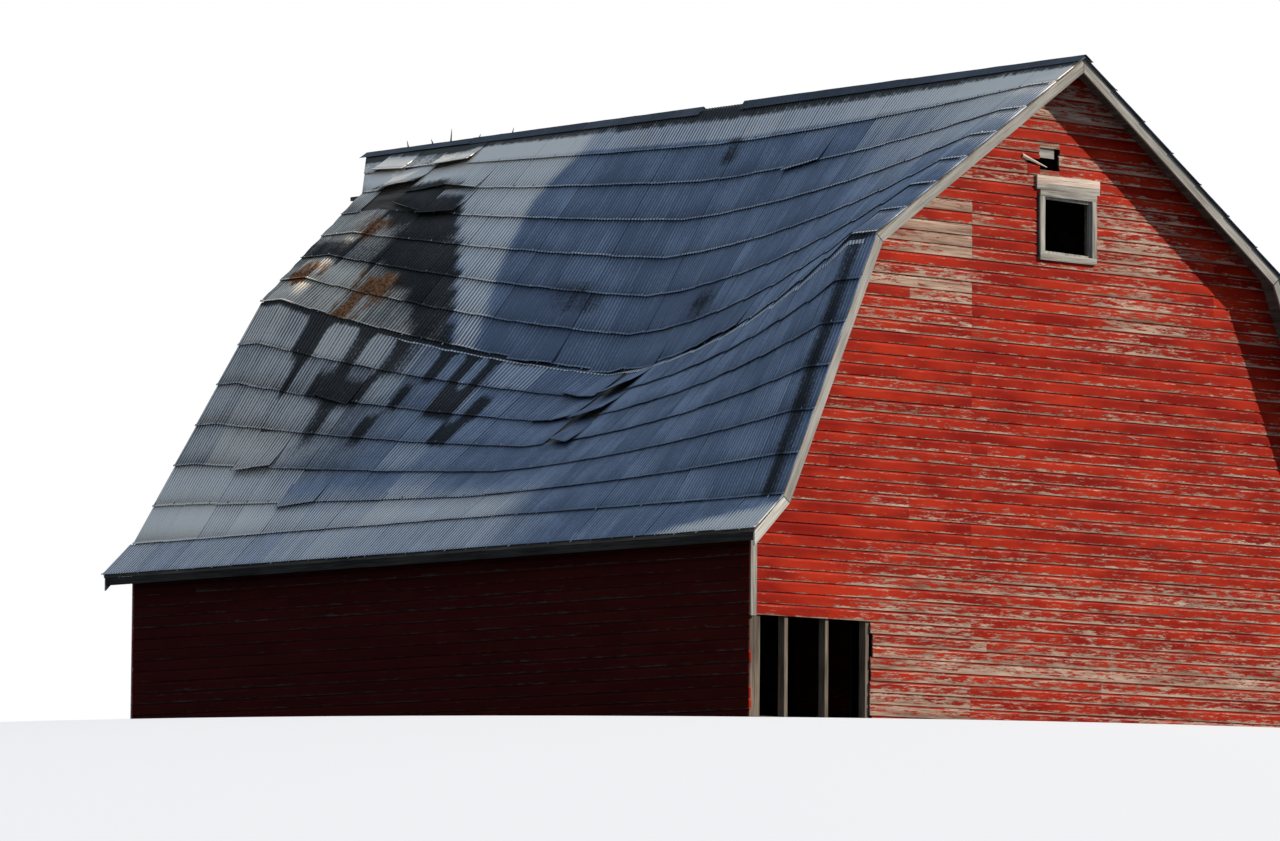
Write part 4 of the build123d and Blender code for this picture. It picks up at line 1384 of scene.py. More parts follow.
@dataclass
class RoofCovering:
    """All the sheets of the roof and its ridge cap."""

    LEFT_DAMAGE = {
        Slope.UPPER: (Damage(0, 17, 0.05, 0.03, 0.05), Damage(0, 19, 0.03, 0.02, -0.04),
                      Damage(1, 18, 0.06, 0.02, 0.07), Damage(1, 16, 0.03, 0.0, -0.03),
                      Damage(1, 17, 0.02, 0.05, 0.10), Damage(2, 18, gone=True),
                      Damage(2, 17, 0.04, -0.05, -0.08), Damage(2, 16, 0.05, 0.03, 0.05),
                      Damage(1, 6, 0.02, 0.04, 0.03), Damage(6, 6, 0.03, 0.03, 0.02),
                      Damage(6, 5, 0.02, 0.0, -0.02), Damage(6, 8, 0.03, 0.05, -0.03),
                      Damage(6, 9, 0.01, 0.02, 0.04), Damage(6, 11, 0.03, 0.04, 0.03)),
        Slope.LOWER: (Damage(0, 8, 0.07, 0.05, 0.08, 0.17), Damage(1, 8, 0.06, 0.04, 0.06, 0.12),
                      Damage(2, 8, 0.05, 0.05, -0.07, 0.2), Damage(0, 9, 0.03, 0.04, -0.05),
                      Damage(1, 9, 0.02, 0.0, 0.05), Damage(3, 16, 0.04, 0.04, 0.05),
                      Damage(1, 15, 0.03, 0.03, -0.04), Damage(4, 14, 0.02, 0.05, 0.04)),
    }

    shape: RoofShape

    def build(self, paints: Paintbox) -> None:
        """Lays the sheets of every slope of both sides, and the cap.

        Args:
            paints: Hands out the materials.
        """
        for side in Side:
            for slope in Slope:
                damages = self.LEFT_DAMAGE.get(slope, ()) if side is Side.LEFT else ()
                roof = SheetRoof(self.shape, side, slope, damages)
                name = f"{side.name.lower()}_{slope.name.lower()}"
                node = "flare_sheets" if slope is Slope.FLARE else f"{name}_sheets"
                add_piece(f"{name}_roofing", roof.build(), paints.metal(ROOF_ZINC),
                          "roof_metal", node)
        RidgeCap(self.shape).build(paints)


@dataclass
class RidgeCap:
    """Lengths of folded sheet over the ridge, one of them torn away."""

    shape: RoofShape
    wing: float = 0.145
    thick: float = 0.0015
    length: float = 2.42
    lap: float = 0.04
    lap_rise: float = 0.003
    rise: float = 0.034
    front: float = 0.035
    rear: float = 0.03
    gap_start: float = 5.72
    gap: float = 0.72
    rows: int = 12
    ragged: float = 0.012
    tilt: float = 0.05
    fold_degrees: float = 34.9
    fold_share: float = 0.45
    edge_from: float = 0.9
    edge_rise: float = 0.3
    patches: Point = (3.0, 4.1)
    zones: Triple = (0.0, 0.1, 0.05)

    def __post_init__(self) -> None:
        """Seeds its random numbers."""
        self.random = random.Random("ridge cap")

    def build(self, paints: Paintbox) -> None:
        """Makes the cap as one piece of separate folded lengths.

        Args:
            paints: Hands out the materials.
        """
        shape = self.shape
        mesh, layers = sheet_mesh()
        gap = shape.rake_front + self.gap_start
        spans = ((shape.rake_front - self.front, gap),
                 (gap + self.gap, shape.rear_wall + shape.hood_reach + self.rear))
        faces = []
        for start, end in spans:
            count = max(1, round((end - start) / self.length))
            step = (end - start) / count
            for index in range(count):
                first = start + index * step
                last = start + (index + 1) * step + self.lap * (index < count - 1)
                faces += self._length(mesh, layers, first, last, index % 2)
        bmesh.ops.recalc_face_normals(mesh, faces=faces)
        bmesh.ops.solidify(mesh, geom=faces, thickness=self.thick)
        add_piece("ridge_cap_sheets", mesh, paints.metal(CAP_ZINC), "roof_metal", "ridge_cap")

    def _length(self, mesh: Mesh, layers: tuple, start: float, end: float, over: int) -> list:
        """Faces of one folded length: four strips across the fold, with an uneven hem.

        Args:
            mesh: The mesh that it is added to.
            layers: Layers of the mesh for place and zones.
            start: Its front end along Y.
            end: Its rear end.
            over: 1 where it laps over its neighbours, 0 under them.

        Returns:
            The faces.
        """
        ridge = self.shape.ridge[1]
        made = add_grid(mesh, 4, self.rows)
        tilt = self.random.uniform(-self.tilt, self.tilt)
        chance = self.random.random()
        for vert in made:
            across, along = vert.co.x * 2, vert.co.y + 0.5
            y = start + (end - start) * along
            bend = self.shape.bend(y, Side.LEFT.share if across < 0 else Side.RIGHT.share)
            slope = math.atan2(ridge - bend[1], bend[0]) * (1 - self.fold_share)
            slope += math.radians(self.fold_degrees) * self.fold_share
            slope += tilt * (1 if across < 0 else -1)
            ragged = ripple(across * self.patches[0], y * self.patches[1], 5.0) * self.ragged
            reach = abs(across) * self.wing + ragged * (abs(across) > self.edge_from)
            x = math.copysign(reach * math.cos(slope), across)
            z = ridge + self.rise + over * self.lap_rise - reach * math.sin(slope)
            vert.co = (x, y, z + ragged * self.edge_rise)
            vert[layers[0]] = (y, reach, chance)
            vert[layers[1]] = (*self.zones[:2], self.zones[2] * chance)
        return faces_of(made)


@dataclass
class KnuckleFringe:
    """Frayed pale strip along the knuckle of the left side, with a dark gap over it."""

    shape: RoofShape
    start: float = 0.12
    end: float = 9.2
    step: float = 0.035
    low: float = 0.08
    width: float = 0.046
    thin_from: float = 5.4
    thin_width: float = 0.016
    rise: float = 0.021
    foot_drop: float = 0.004
    thick: float = 0.0015
    ragged: float = 0.014
    top_share: float = 0.4
    patches: Point = (9.0, 5.0)
    zones: Triple = (0.55, 0.18, 0.05)
    fray_pale: float = 14.0

    def build(self, paints: Paintbox) -> None:
        """Lays the strip along the first line of the lower slope.

        Args:
            paints: Hands out the materials.
        """
        mesh, layers = sheet_mesh()
        top, low = self.shape.lines(Side.LEFT, Slope.LOWER)[:2]
        length = self.end - self.start
        made = add_grid(mesh, int(length / self.step), 1)
        for vert in made:
            along = self.start + (vert.co.x + 0.5) * length
            place, foot = self.shape.rake_front + along, vert.co.y > 0
            fall = (low.at(place) - top.at(place)).normalized()
            width = self.width if along < self.thin_from else self.thin_width
            fray = ripple(along * self.patches[0], vert.co.y * self.patches[1],
                          2.5) * self.ragged
            down = self.low + (width + fray if foot else fray * self.top_share)
            vert.co = top.at(place) + fall * down + top.normal(fall, place) * (
                self.rise - self.foot_drop * foot)
            vert[layers[0]] = (place, down, 0.3)
            vert[layers[1]] = (self.zones[0] + fray * self.fray_pale, *self.zones[1:])
        bmesh.ops.solidify(mesh, geom=mesh.faces[:], thickness=self.thick)
        bmesh.ops.recalc_face_normals(mesh, faces=mesh.faces[:])
        add_piece("knuckle_fringe", mesh, paints.metal(ROOF_ZINC), "roof_metal")


@dataclass(frozen=True)
class Spike:
    """Bent strip that stands up from the torn cap: place along the roof, height and lean."""

    along: float
    height: float
    lean: float


@dataclass
class TornPieces:
    """Small things that stick out of the torn rear end of the roof and of the front gable."""

    SPIKES = (Spike(9.96, 0.07, 0.3), Spike(11.14, 0.16, 0.1), Spike(11.5, 0.07, -0.5),
              Spike(11.98, 0.09, -0.3), Spike(10.6, 0.05, 0.6))
    PLANK = ((-1.0, 4.95, 7.035), (-0.965, 5.52, 7.085))

    shape: RoofShape
    spike_x: float = -0.01
    spike_root: float = 0.05
    spike_radii: Point = (0.022, 0.004)
    spike_squash: Triple = (0.25, 1.0, 1.0)
    spike_zones: Triple = (0.0, 0.2, 0.1)
    plank_rounding: float = 0.004
    split_place: Point = (-0.49, 6.575)
    split_inset: float = 0.006
    split_length: float = 0.4
    split_degrees: float = 105.0
    split_radii: Point = (0.036, 0.006)
    split_squash: Triple = (0.7, 0.35, 1.0)

    def build(self, paints: Paintbox) -> None:
        """Makes the bent strips, the plank and the split board.

        Args:
            paints: Hands out the materials.
        """
        shape = self.shape
        mesh, layers = sheet_mesh()
        for spike in self.SPIKES:
            middle = (self.spike_x, shape.rake_front + spike.along,
                      shape.ridge[1] + spike.height / 2)
            place = Matrix.Translation(middle) @ Matrix.Rotation(spike.lean, 4, "X")
            for vert in add_splinter(mesh, self.spike_radii, spike.height + self.spike_root,
                                     self.spike_squash, place):
                vert[layers[0]] = (vert.co.y, vert.co.z, 0.5)
                vert[layers[1]] = self.spike_zones
        add_piece("ridge_spikes", mesh, paints.metal(CAP_ZINC), "roof_metal")
        mesh = bmesh.new()
        add_box(mesh, *self.PLANK)
        round_edges(mesh, self.plank_rounding)
        add_piece("hood_plank", mesh, paints.bare(TIMBER, Grain.Y), "grey_trim")
        mesh = bmesh.new()
        x, z = self.split_place
        turn = Matrix.Rotation(math.radians(self.split_degrees), 4, "Y")
        add_splinter(mesh, self.split_radii, self.split_length, self.split_squash,
                     Matrix.Translation((x, shape.front_wall - self.split_inset, z)) @ turn)
        add_piece("split_board", mesh, paints.bare(NEW_BOARD), "grey_trim")


# Siding, window and rake boards


@dataclass(frozen=True)
class Opening:
    """Rectangle that is left out of the boards of a wall, along the wall and up."""

    start: float
    end: float
    low: float
    high: float
    ragged: float = 0.0


@dataclass
class SidingWall:
    """Drop siding of one wall, board by board."""

    # Joints of the front gable that lie over each other: their X and their rows of boards.
    FRONT_BUTTS = ((PATCH_EDGE, [row for row in range(60) if row % 7 < 5]),
                   (-0.44, range(47, 53)))
    STUDS = (-3.66, -2.44, -1.22, 0.61, 1.22, 2.44, 3.66)

    shape: RoofShape
    wall: Wall
    openings: tuple[Opening, ...] = ()
    pitch: float = 0.13
    first: float = 0.055
    foot: float = 0.03
    thick: float = 0.02
    cove: float = 0.030
    tongue: float = 0.0085
    joint: float = 0.0015
    lap_gap: float = 0.0004
    warp: float = 0.003
    section: float = 0.6
    least: float = 0.02
    least_end: float = 0.5
    weld: float = 0.00001
    waves: Point = (0.7, 3.7)
    apart: Point = (9.0, 31.0)
    worn: float = 0.34
    worn_chance: float = 0.12
    bare_from: float = 0.3
    left_worn: float = -0.06

    def __post_init__(self) -> None:
        """Seeds its random numbers."""
        self.random = random.Random(f"siding {self.wall.name}")

    def profile(self, height: float) -> list[Triple]:
        """Outline of a board: depth, height and how much its paint has worn there.

        Args:
            height: Height of the board.

        Returns:
            The points of the outline, in order.
        """
        thick, cove, tongue = self.thick, self.cove, self.tongue
        if height < cove * 2:
            return [(0.0, 0.0, 0.0), (thick, 0.0, 0.1), (thick, height, 0.0),
                    (0.0, height, 0.0)]
        return [(0.0, 0.0, 0.0), (thick - 0.002, 0.0, 0.21), (thick, 0.003, 0.20),
                (thick, 0.014, 0.10), (thick, 0.036, 0.02), (thick, 0.06, 0.0),
                (thick, height - cove - 0.006, 0.0), (thick - 0.001, height - cove, 0.12),
                (thick - 0.007, height - cove * 0.82, 0.0),
                (tongue + 0.001, height - cove * 0.5, -0.05), (tongue, height, -0.05),
                (0.0, height, 0.0)]

    def wear(self, along: float, z: float, chance: float) -> float:
        """How much paint a board has lost there, 0 little to 0.6 nearly all.

        Args:
            along: Place along the wall.
            z: Height.
            chance: Random number of the board.

        Returns:
            The wear.
        """
        value = self.worn + self.worn_chance * chance
        if self.wall is Wall.FRONT:
            value += sum(mark.at(along, z, chance) for mark in WORN)
            if along < PATCH_EDGE and chance > self.bare_from:
                value += BARE_PATCH.at(along, z, chance)
        # Less bare wood on the left wall, as part of its painted shade.
        elif self.wall is Wall.LEFT:
            value += self.left_worn
        return value

    def spans(self, low: float, high: float) -> list[tuple[float, float, float, float]]:
        """Parts of a board from low to high that the openings leave: start, end, foot, top.

        Args:
            low: Foot of the row.
            high: Top of the row.

        Returns:
            The parts of the row.
        """
        shape = self.shape
        if self.wall.across:
            half = shape.gable_half(low)
            runs = [(-half, half, low, high)]
        else:
            runs = [(shape.front_wall + self.thick, shape.rear_wall - self.thick, low, high)]
        for gap in self.openings:
            if gap.low >= high or gap.high <= low:
                continue
            cut = []
            for start, end, foot, top in runs:
                if gap.end <= start or gap.start >= end:
                    cut.append((start, end, foot, top))
                    continue
                drift = [self.random.uniform(-1, 1) * gap.ragged for _ in range(2)]
                near, far = max(start, gap.start + drift[0]), min(end, gap.end + drift[1])
                cut += [(start, near, foot, top), (near, far, foot, gap.low),
                        (near, far, gap.high, top), (far, end, foot, top)]
            runs = [run for run in cut
                    if run[1] - run[0] > self.least and run[3] - run[2] > self.least]
        return runs

    def build(self) -> Mesh:
        """Makes every board of the wall.

        Returns:
            The mesh of the wall.
        """
        mesh, self.layers = board_mesh()
        shape = self.shape
        roof_top = shape.section(shape.first_rafter, 1.0, shape.deck)[0][1]
        top = roof_top if self.wall.across else shape.plate_top
        low, high, row = self.foot, self.first, 0
        while low < top - self.least:
            high = min(high, top)
            for start, end, foot, head in self.spans(low, high):
                joints = self._joints(start, end, row)
                for first, last in zip(joints, joints[1:]):
                    self._board(mesh, row, (first, last), (low, high), (foot, head))
            low, high, row = high, high + self.pitch, row + 1
        bmesh.ops.recalc_face_normals(mesh, faces=mesh.faces[:])
        return mesh

    def _joints(self, start: float, end: float, row: int) -> list[float]:
        """Ends of the boards of one row, butted on the studs.

        Args:
            start: Start of the row.
            end: End of the row.
            row: Its number from the ground up.

        Returns:
            The places of the ends, in order.
        """
        butts = [place for place, rows in self.FRONT_BUTTS
                 if self.wall is Wall.FRONT and row in rows]
        butts.append(self.random.choice(self.STUDS))
        least = self.least_end
        inner = [place for place in butts if start + least < place < end - least]
        return [start, *sorted(inner), end]

    def _board(self, mesh: Mesh, row: int, span: Point, rise: Point, keep: Point) -> None:
        """One board: its outline drawn out along the wall, with ends cut to the roof.

        Args:
            mesh: The mesh that it is added to.
            row: Number of its row from the ground up.
            span: Its two ends along the wall.
            rise: Foot and top of its row.
            keep: Heights between which it is whole; beyond them it is sawn off.
        """
        chance = self.random.random()
        outline = self.profile(rise[1] - rise[0] - self.lap_gap)
        count = len(outline)
        rows = max(2, round((span[1] - span[0]) / self.section))
        made = add_grid(mesh, count, rows)
        seam = []
        for vert in made:
            column = round((vert.co.x + 0.5) * count)
            depth, height, worn = outline[column % count]
            along = span[0] + self.joint / 2 + (span[1] - span[0] - self.joint) * (
                vert.co.y + 0.5)
            z = min(max(rise[0] + height, keep[0]), keep[1])
            self._place(vert, along, depth, z, worn, chance, row)
            if column in (0, count):
                seam.append(vert)
        faces = faces_of(made)
        bmesh.ops.remove_doubles(mesh, verts=seam, dist=self.weld)
        edges = {edge for face in faces if face.is_valid for edge in face.edges}
        bmesh.ops.holes_fill(mesh, edges=[edge for edge in edges if edge.is_boundary])

    def _place(self, vert: bmesh.types.BMVert, along: float, depth: float, z: float,
               worn: float, chance: float, row: int) -> None:
        """Puts a vert on the wall, and notes its place and wear.

        Args:
            vert: The vert.
            along: Its place along the wall.
            depth: How far it stands out.
            z: Its height.
            worn: What its place in the outline adds to the wear.
            chance: Random number of its board.
            row: Number of its row from the ground up.
        """
        shape, sign = self.shape, self.wall.sign
        warp = ripple(along * self.waves[0], row * self.waves[1], sign) * self.warp
        outwards = sign * (depth - self.thick + (warp if depth > 0 else 0.0))
        if self.wall.across:
            half = shape.gable_half(z)
            along = min(half, max(-half, along))
            face = shape.front_wall
            if self.wall is Wall.REAR:
                face = shape.rear_wall + shape.rear_lean(z)
            vert.co = (along, face + outwards, z)
        else:
            vert.co = (sign * shape.wall_half + outwards, along, z)
        vert[self.layers[0]] = (along + chance * self.apart[0], z + chance * self.apart[1],
                                depth * 3)
        vert[self.layers[1]] = self.wear(along, z, chance) + worn


@dataclass(frozen=True)
class HayDoor:
    """Closed upper door of the rear gable: upright planks with two battens across them."""

    half: float = 0.61
    low: float = 5.587
    high: float = 6.897
    thick: float = 0.025
    planks: int = 8
    gap: float = 0.004
    battens: Point = (5.85, 6.62)
    batten_half: float = 0.06
    batten_share: float = 0.95
    rounding: float = 0.002
    apart: float = 5.3
    wear: float = 0.45

    def build(self, shape: RoofShape, paint: Material) -> None:
        """Makes the planks and battens as one piece.

        Args:
            shape: Shape of the roof, for the lean of the rear gable.
            paint: Material of the boards.
        """
        mesh, layers = board_mesh()
        wide = self.half * 2 / self.planks
        parts = [(-self.half + wide * (index + 0.5), wide - self.gap, self.low, self.high, 0.0)
                 for index in range(self.planks)]
        parts += [(0.0, self.half * 2 * self.batten_share, z - self.batten_half,
                   z + self.batten_half, self.thick) for z in self.battens]
        for number, (x, width, foot, top, out) in enumerate(parts):
            for vert in bmesh.ops.create_cube(mesh, size=1.0)["verts"]:
                z = (foot + top) / 2 + vert.co.z * (top - foot)
                y = shape.rear_wall + shape.rear_lean(z) + out + self.thick * (vert.co.y + 0.5)
                vert.co = (x + vert.co.x * width, y, z)
                vert[layers[0]] = (z + number * self.apart, x + number, y)
                vert[layers[1]] = self.wear
        round_edges(mesh, self.rounding)
        add_piece("hay_door_planks", mesh, paint, "red_siding", "hay_door")


@dataclass
class Siding:
    """The siding of all four walls and the closed hay door."""

    OPENINGS = {
        Wall.FRONT: (Opening(-4.83, -3.0, 0.0, 1.21, 0.03), Opening(-0.442, 0.438, 5.515, 6.205),
                     Opening(-0.405, -0.09, 6.49, 6.745, 0.006),
                     Opening(-0.62, -0.405, 6.55, 6.61, 0.02)),
        Wall.REAR: (Opening(-1.22, 1.22, 0.0, 1.99), Opening(-0.58, 0.58, 5.617, 6.867),
                    Opening(-0.0205, 0.0205, 7.565, 7.8)),
    }
    NODES = {
        Wall.FRONT: ("front_base_siding", "front_gable_siding", "front_window_siding",
                     "front_peak_siding"),
        Wall.REAR: ("rear_base_siding", "rear_gable_siding", "rear_peak_siding"),
        Wall.LEFT: ("left_siding",),
        Wall.RIGHT: ("right_siding",),
    }

    shape: RoofShape

    def build(self, paints: Paintbox) -> None:
        """Boards every wall.

        Args:
            paints: Hands out the materials.
        """
        for wall in Wall:
            boards = SidingWall(self.shape, wall, self.OPENINGS.get(wall, ()))
            # The left wall takes darker paint as painted shade.
            paint = paints.painted(PAINTED_SHADE_SIDING if wall is Wall.LEFT else SIDING_PAINT)
            add_piece(f"{wall.name.lower()}_siding_boards", boards.build(), paint,
                      "red_siding", *self.NODES[wall])
        HayDoor().build(self.shape, paints.painted(SIDING_PAINT))


@dataclass(frozen=True)
class BoardSet:
    """Boards of one piece: depths from the wall's face, and boxes in X and Z."""

    name: str
    node: str
    finish: WoodFinish
    depths: Point
    boxes: tuple[tuple[float, float, float, float], ...]
    grain: Grain = Grain.X


@dataclass
class WindowTrim:
    """Casing and head boards of the loft window, and the patch behind the hole over it."""

    SETS = (
        BoardSet("window_casing_rails", "window_casing", GREY_BOARD, (-0.028, 0.0),
                 ((-0.417, 0.493, 5.46, 5.535), (-0.417, 0.493, 6.185, 6.26))),
        BoardSet("window_casing_stiles", "window_casing", GREY_BOARD, (-0.028, 0.0),
                 ((-0.417, -0.342, 5.535, 6.185), (0.418, 0.493, 5.535, 6.185)), Grain.Z),
        BoardSet("window_head_grey", "window_head_boards", GREY_BOARD, (-0.024, 0.0),
                 ((-0.467, 0.543, 6.262, 6.332),)),
        BoardSet("window_head_pale", "window_head_boards", NEW_BOARD, (-0.024, 0.0),
                 ((-0.467, 0.543, 6.334, 6.426),)),
        BoardSet("hole_patch_board", "peak_patch", GREY_BOARD, (0.02, 0.04),
                 ((-0.425, -0.155, 6.63, 6.76),)),
    )

    shape: RoofShape
    rounding: float = 0.0025
    cuts: int = 9
    long_share: float = 0.7
    uneven: float = 0.004
    waves: float = 2.6
    apart: float = 50.0

    def __post_init__(self) -> None:
        """Seeds its random numbers."""
        self.random = random.Random("window")

    def build(self, paints: Paintbox) -> None:
        """Makes every set of boards with rounded, slightly uneven edges.

        Args:
            paints: Hands out the materials.
        """
        face = self.shape.front_wall
        for boards in self.SETS:
            mesh = bmesh.new()
            near, far = (face + depth for depth in boards.depths)
            for x0, x1, z0, z1 in boards.boxes:
                self._board(mesh, (x0, near, z0), (x1, far, z1))
            add_piece(boards.name, mesh, paints.bare(boards.finish, boards.grain),
                      "grey_trim", boards.node)

    def _board(self, mesh: Mesh, low: Triple, high: Triple) -> None:
        """Adds one board between two corners to a mesh.

        Args:
            mesh: The mesh that it is added to.
            low: Its lowest corner.
            high: Its highest corner.
        """
        part = bmesh.new()
        add_box(part, low, high)
        round_edges(part, self.rounding)
        longest = self.long_share * max(high[0] - low[0], high[2] - low[2])
        bmesh.ops.subdivide_edges(part, cuts=self.cuts, edges=[
            edge for edge in part.edges if edge.calc_length() > longest])
        seed = Vector((self.random.uniform(0, self.apart), 0, 0))
        for vert in part.verts:
            shift = noise.noise_vector(vert.co * self.waves + seed) * self.uneven
            vert.co += Vector((shift.x, min(0.0, shift.y) * 0.5, shift.z))
        spare = bpy.data.meshes.new("spare")
        part.to_mesh(spare)
        part.free()
        mesh.from_mesh(spare)
        bpy.data.meshes.remove(spare)


@dataclass
class RakeBoards:
    """Boards under the edges of the roof at both gables, with grain along the slope."""

    shape: RoofShape
    thick: float = 0.025
    inset: float = 0.037
    depths: Point = (0.0223, 0.137)
    joint: float = 0.012
    peak_gap: float = 0.02
    section: float = 0.4
    uneven: float = 0.004
    waves: float = 1.7
    apart: Point = (7.1, 3.0)

    def slopes(self) -> list[tuple]:
        """Top and lower line of the boards of one side: upper, lower and flare.

        Returns:
            The two lines of each of the three, from start to end.
        """
        shape, depths = self.shape, self.depths
        sections = [shape.section(shape.first_rafter, 1.0, depth) for depth in depths]
        normal = inward(shape.flare, shape.eave)
        lowers, flares = [], []
        for section, depth in zip(sections, depths):
            start, end = (shifted(point, normal, depth) for point in (shape.flare, shape.eave))
            mitre = crossing(section[1], section[2], start, end)
            lowers.append((section[1], mitre))
            flares.append((mitre, plumb_point(start, end, shape.eave[0])))
        return [tuple(line[0:2] for line in sections), tuple(lowers), tuple(flares)]

    def build(self, paints: Paintbox) -> None:
        """Makes the boards of both gables.

        Args:
            paints: Hands out the materials.
        """
        shape, inset = self.shape, self.inset
        upper, lower, flare = self.slopes()
        knee, last = shape.hood_courses, Slope.UPPER.courses
        knees = [blend(*line, knee / last) for line in upper]
        peaks = [plumb_point(*line, self.peak_gap) for line in upper]
        feet = [line[1] for line in upper]
        front = [(*lines, lambda z: shape.rake_front) for lines in (upper, lower, flare)]
        rear = [(*lower, lambda z: shape.rake_rear - inset + shape.rear_lean(z)),
                (*flare, lambda z: shape.rake_rear - inset),
                (*zip(peaks, knees), self._edge((upper[0][0][1], knees[0][1]), (0, knee))),
                (*zip(knees, feet), self._edge((knees[0][1], feet[0][1]), (knee, last)))]
        for name, node, finish, boards in (
                ("front_rake_trim", "front_rake_boards", RAKE_BOARD, front[:2]),
                ("front_flare_trim", "front_rake_boards", FLARE_BOARD, front[2:]),
                ("rear_rake_trim", "rear_rake_boards", RAKE_BOARD, rear)):
            mesh, layers = board_mesh()
            for side in Side:
                for number, (tops, lows, depth) in enumerate(boards):
                    self._board(mesh, layers[0], side, (tops, lows), depth, number)
            add_piece(name, mesh, paints.bare(finish, Grain.OWN), "grey_trim", node)

    def _edge(self, heights: Point, steps: tuple[int, int]) -> Lean:
        """Place along Y, by height, under a straight part of the hood's edge."""
        start, end = (self.shape.hood_edge(step) - self.inset for step in steps)
        return lambda z: start + (z - heights[0]) * (end - start) / (heights[1] - heights[0])

    def _board(self, mesh: Mesh, layer: object, side: Side, lines: tuple, depth: Lean,
               number: int) -> None:
        """One board, slightly uneven along its length.

        Args:
            mesh: The mesh that it is added to.
            layer: Layer of the mesh for the place of a vert.
            side: Side of the ridge.
            lines: Its top and lower line, each from start to end.
            depth: Place of its front face by height.
            number: Its number, which varies its grain.
        """
        length = math.dist(*lines[0])
        trim = self.joint / 2 / length
        count = len(mesh.verts)
        cube = bmesh.ops.create_cube(mesh, size=1.0)["verts"]
        edges = [edge for edge in {edge for vert in cube for edge in vert.link_edges}
                 if abs(edge.verts[0].co.x - edge.verts[1].co.x) > 0.5]
        bmesh.ops.subdivide_edges(mesh, edges=edges, use_grid_fill=True,
                                  cuts=max(1, int(length / self.section)))
        mesh.verts.ensure_lookup_table()
        seed = number * self.apart[0] + side.sign * self.apart[1]
        for vert in mesh.verts[count:]:
            share = trim + (1 - 2 * trim) * (vert.co.x + 0.5)
            low, deep = vert.co.z <= 0, (vert.co.y + 0.5) * self.thick
            x, z = blend(*lines[low], share)
            if low:
                uneven = ripple(share * length * self.waves, seed, 0.0)
                z -= abs(uneven) * self.uneven
            vert.co = (side.sign * x, depth(z) + deep, z)
            vert[layer] = (share * length + seed,
                           seed + low * (self.depths[1] - self.depths[0]), deep)


# Timber of the frame and trim of the CAD


@dataclass(frozen=True)
class Look:
    """How some nodes of the CAD look: wood, grain and rounding of their edges."""

    finish: WoodFinish
    grain: Grain
    rounding: float
    nodes: tuple[str, ...]


class Timber:
    """Gives the nodes that stay in view their wood and their rounded edges."""

    LOOKS = (
        Look(TIMBER, Grain.X, 0.004, (
            "end_sills", "end_plates", "gable_girts", "window_framing", "loft_joists",
            "collar_ties", "eave_lookouts")),
        Look(TIMBER, Grain.Y, 0.004, ("side_sills", "side_plates", "loft_girders",
                                      "ridge_board")),
        Look(TIMBER, Grain.Z, 0.004, (
            "corner_posts", "side_studs", "front_lower_studs", "rear_lower_studs",
            "doorway_frame", "front_gable_studs", "rear_gable_studs", "loft_posts")),
        Look(TIMBER, Grain.X, 0.0, ("left_upper_rafters", "right_upper_rafters")),
        Look(TIMBER, Grain.Z, 0.0, ("left_lower_rafters", "right_lower_rafters")),
        Look(FLOOR_BOARD, Grain.Y, 0.0, ("loft_floor",)),
        Look(ROOF_BOARD, Grain.Y, 0.0, (
            "left_upper_deck", "left_lower_deck", "right_upper_deck", "right_lower_deck",
            "flare_decks")),
        # Fascias and soffits take near-black wood as painted shade.
        Look(EAVE_BOARD_PAINTED_SHADE, Grain.Y, 0.003, ("fascias",)),
        Look(EAVE_BOARD_PAINTED_SHADE, Grain.Y, 0.0, ("soffits",)),
        Look(GREY_BOARD, Grain.Z, 0.003, ("corner_boards", "window_sash")),
    )

    def dress(self, nodes: dict[str, bpy.types.Object], paints: Paintbox) -> None:
        """Sets the look of every node that is listed.

        Args:
            nodes: Objects of the CAD by name.
            paints: Hands out the materials.
        """
        for look in self.LOOKS:
            for node in (nodes[name] for name in look.nodes):
                node.data.materials.clear()
                node.data.materials.append(paints.bare(look.finish, look.grain))
                if look.rounding:
                    rounding = node.modifiers.new("Rounding", "BEVEL")
                    rounding.width = look.rounding
                    rounding.segments = 2
                    rounding.limit_method = "ANGLE"


# Stage, light and camera


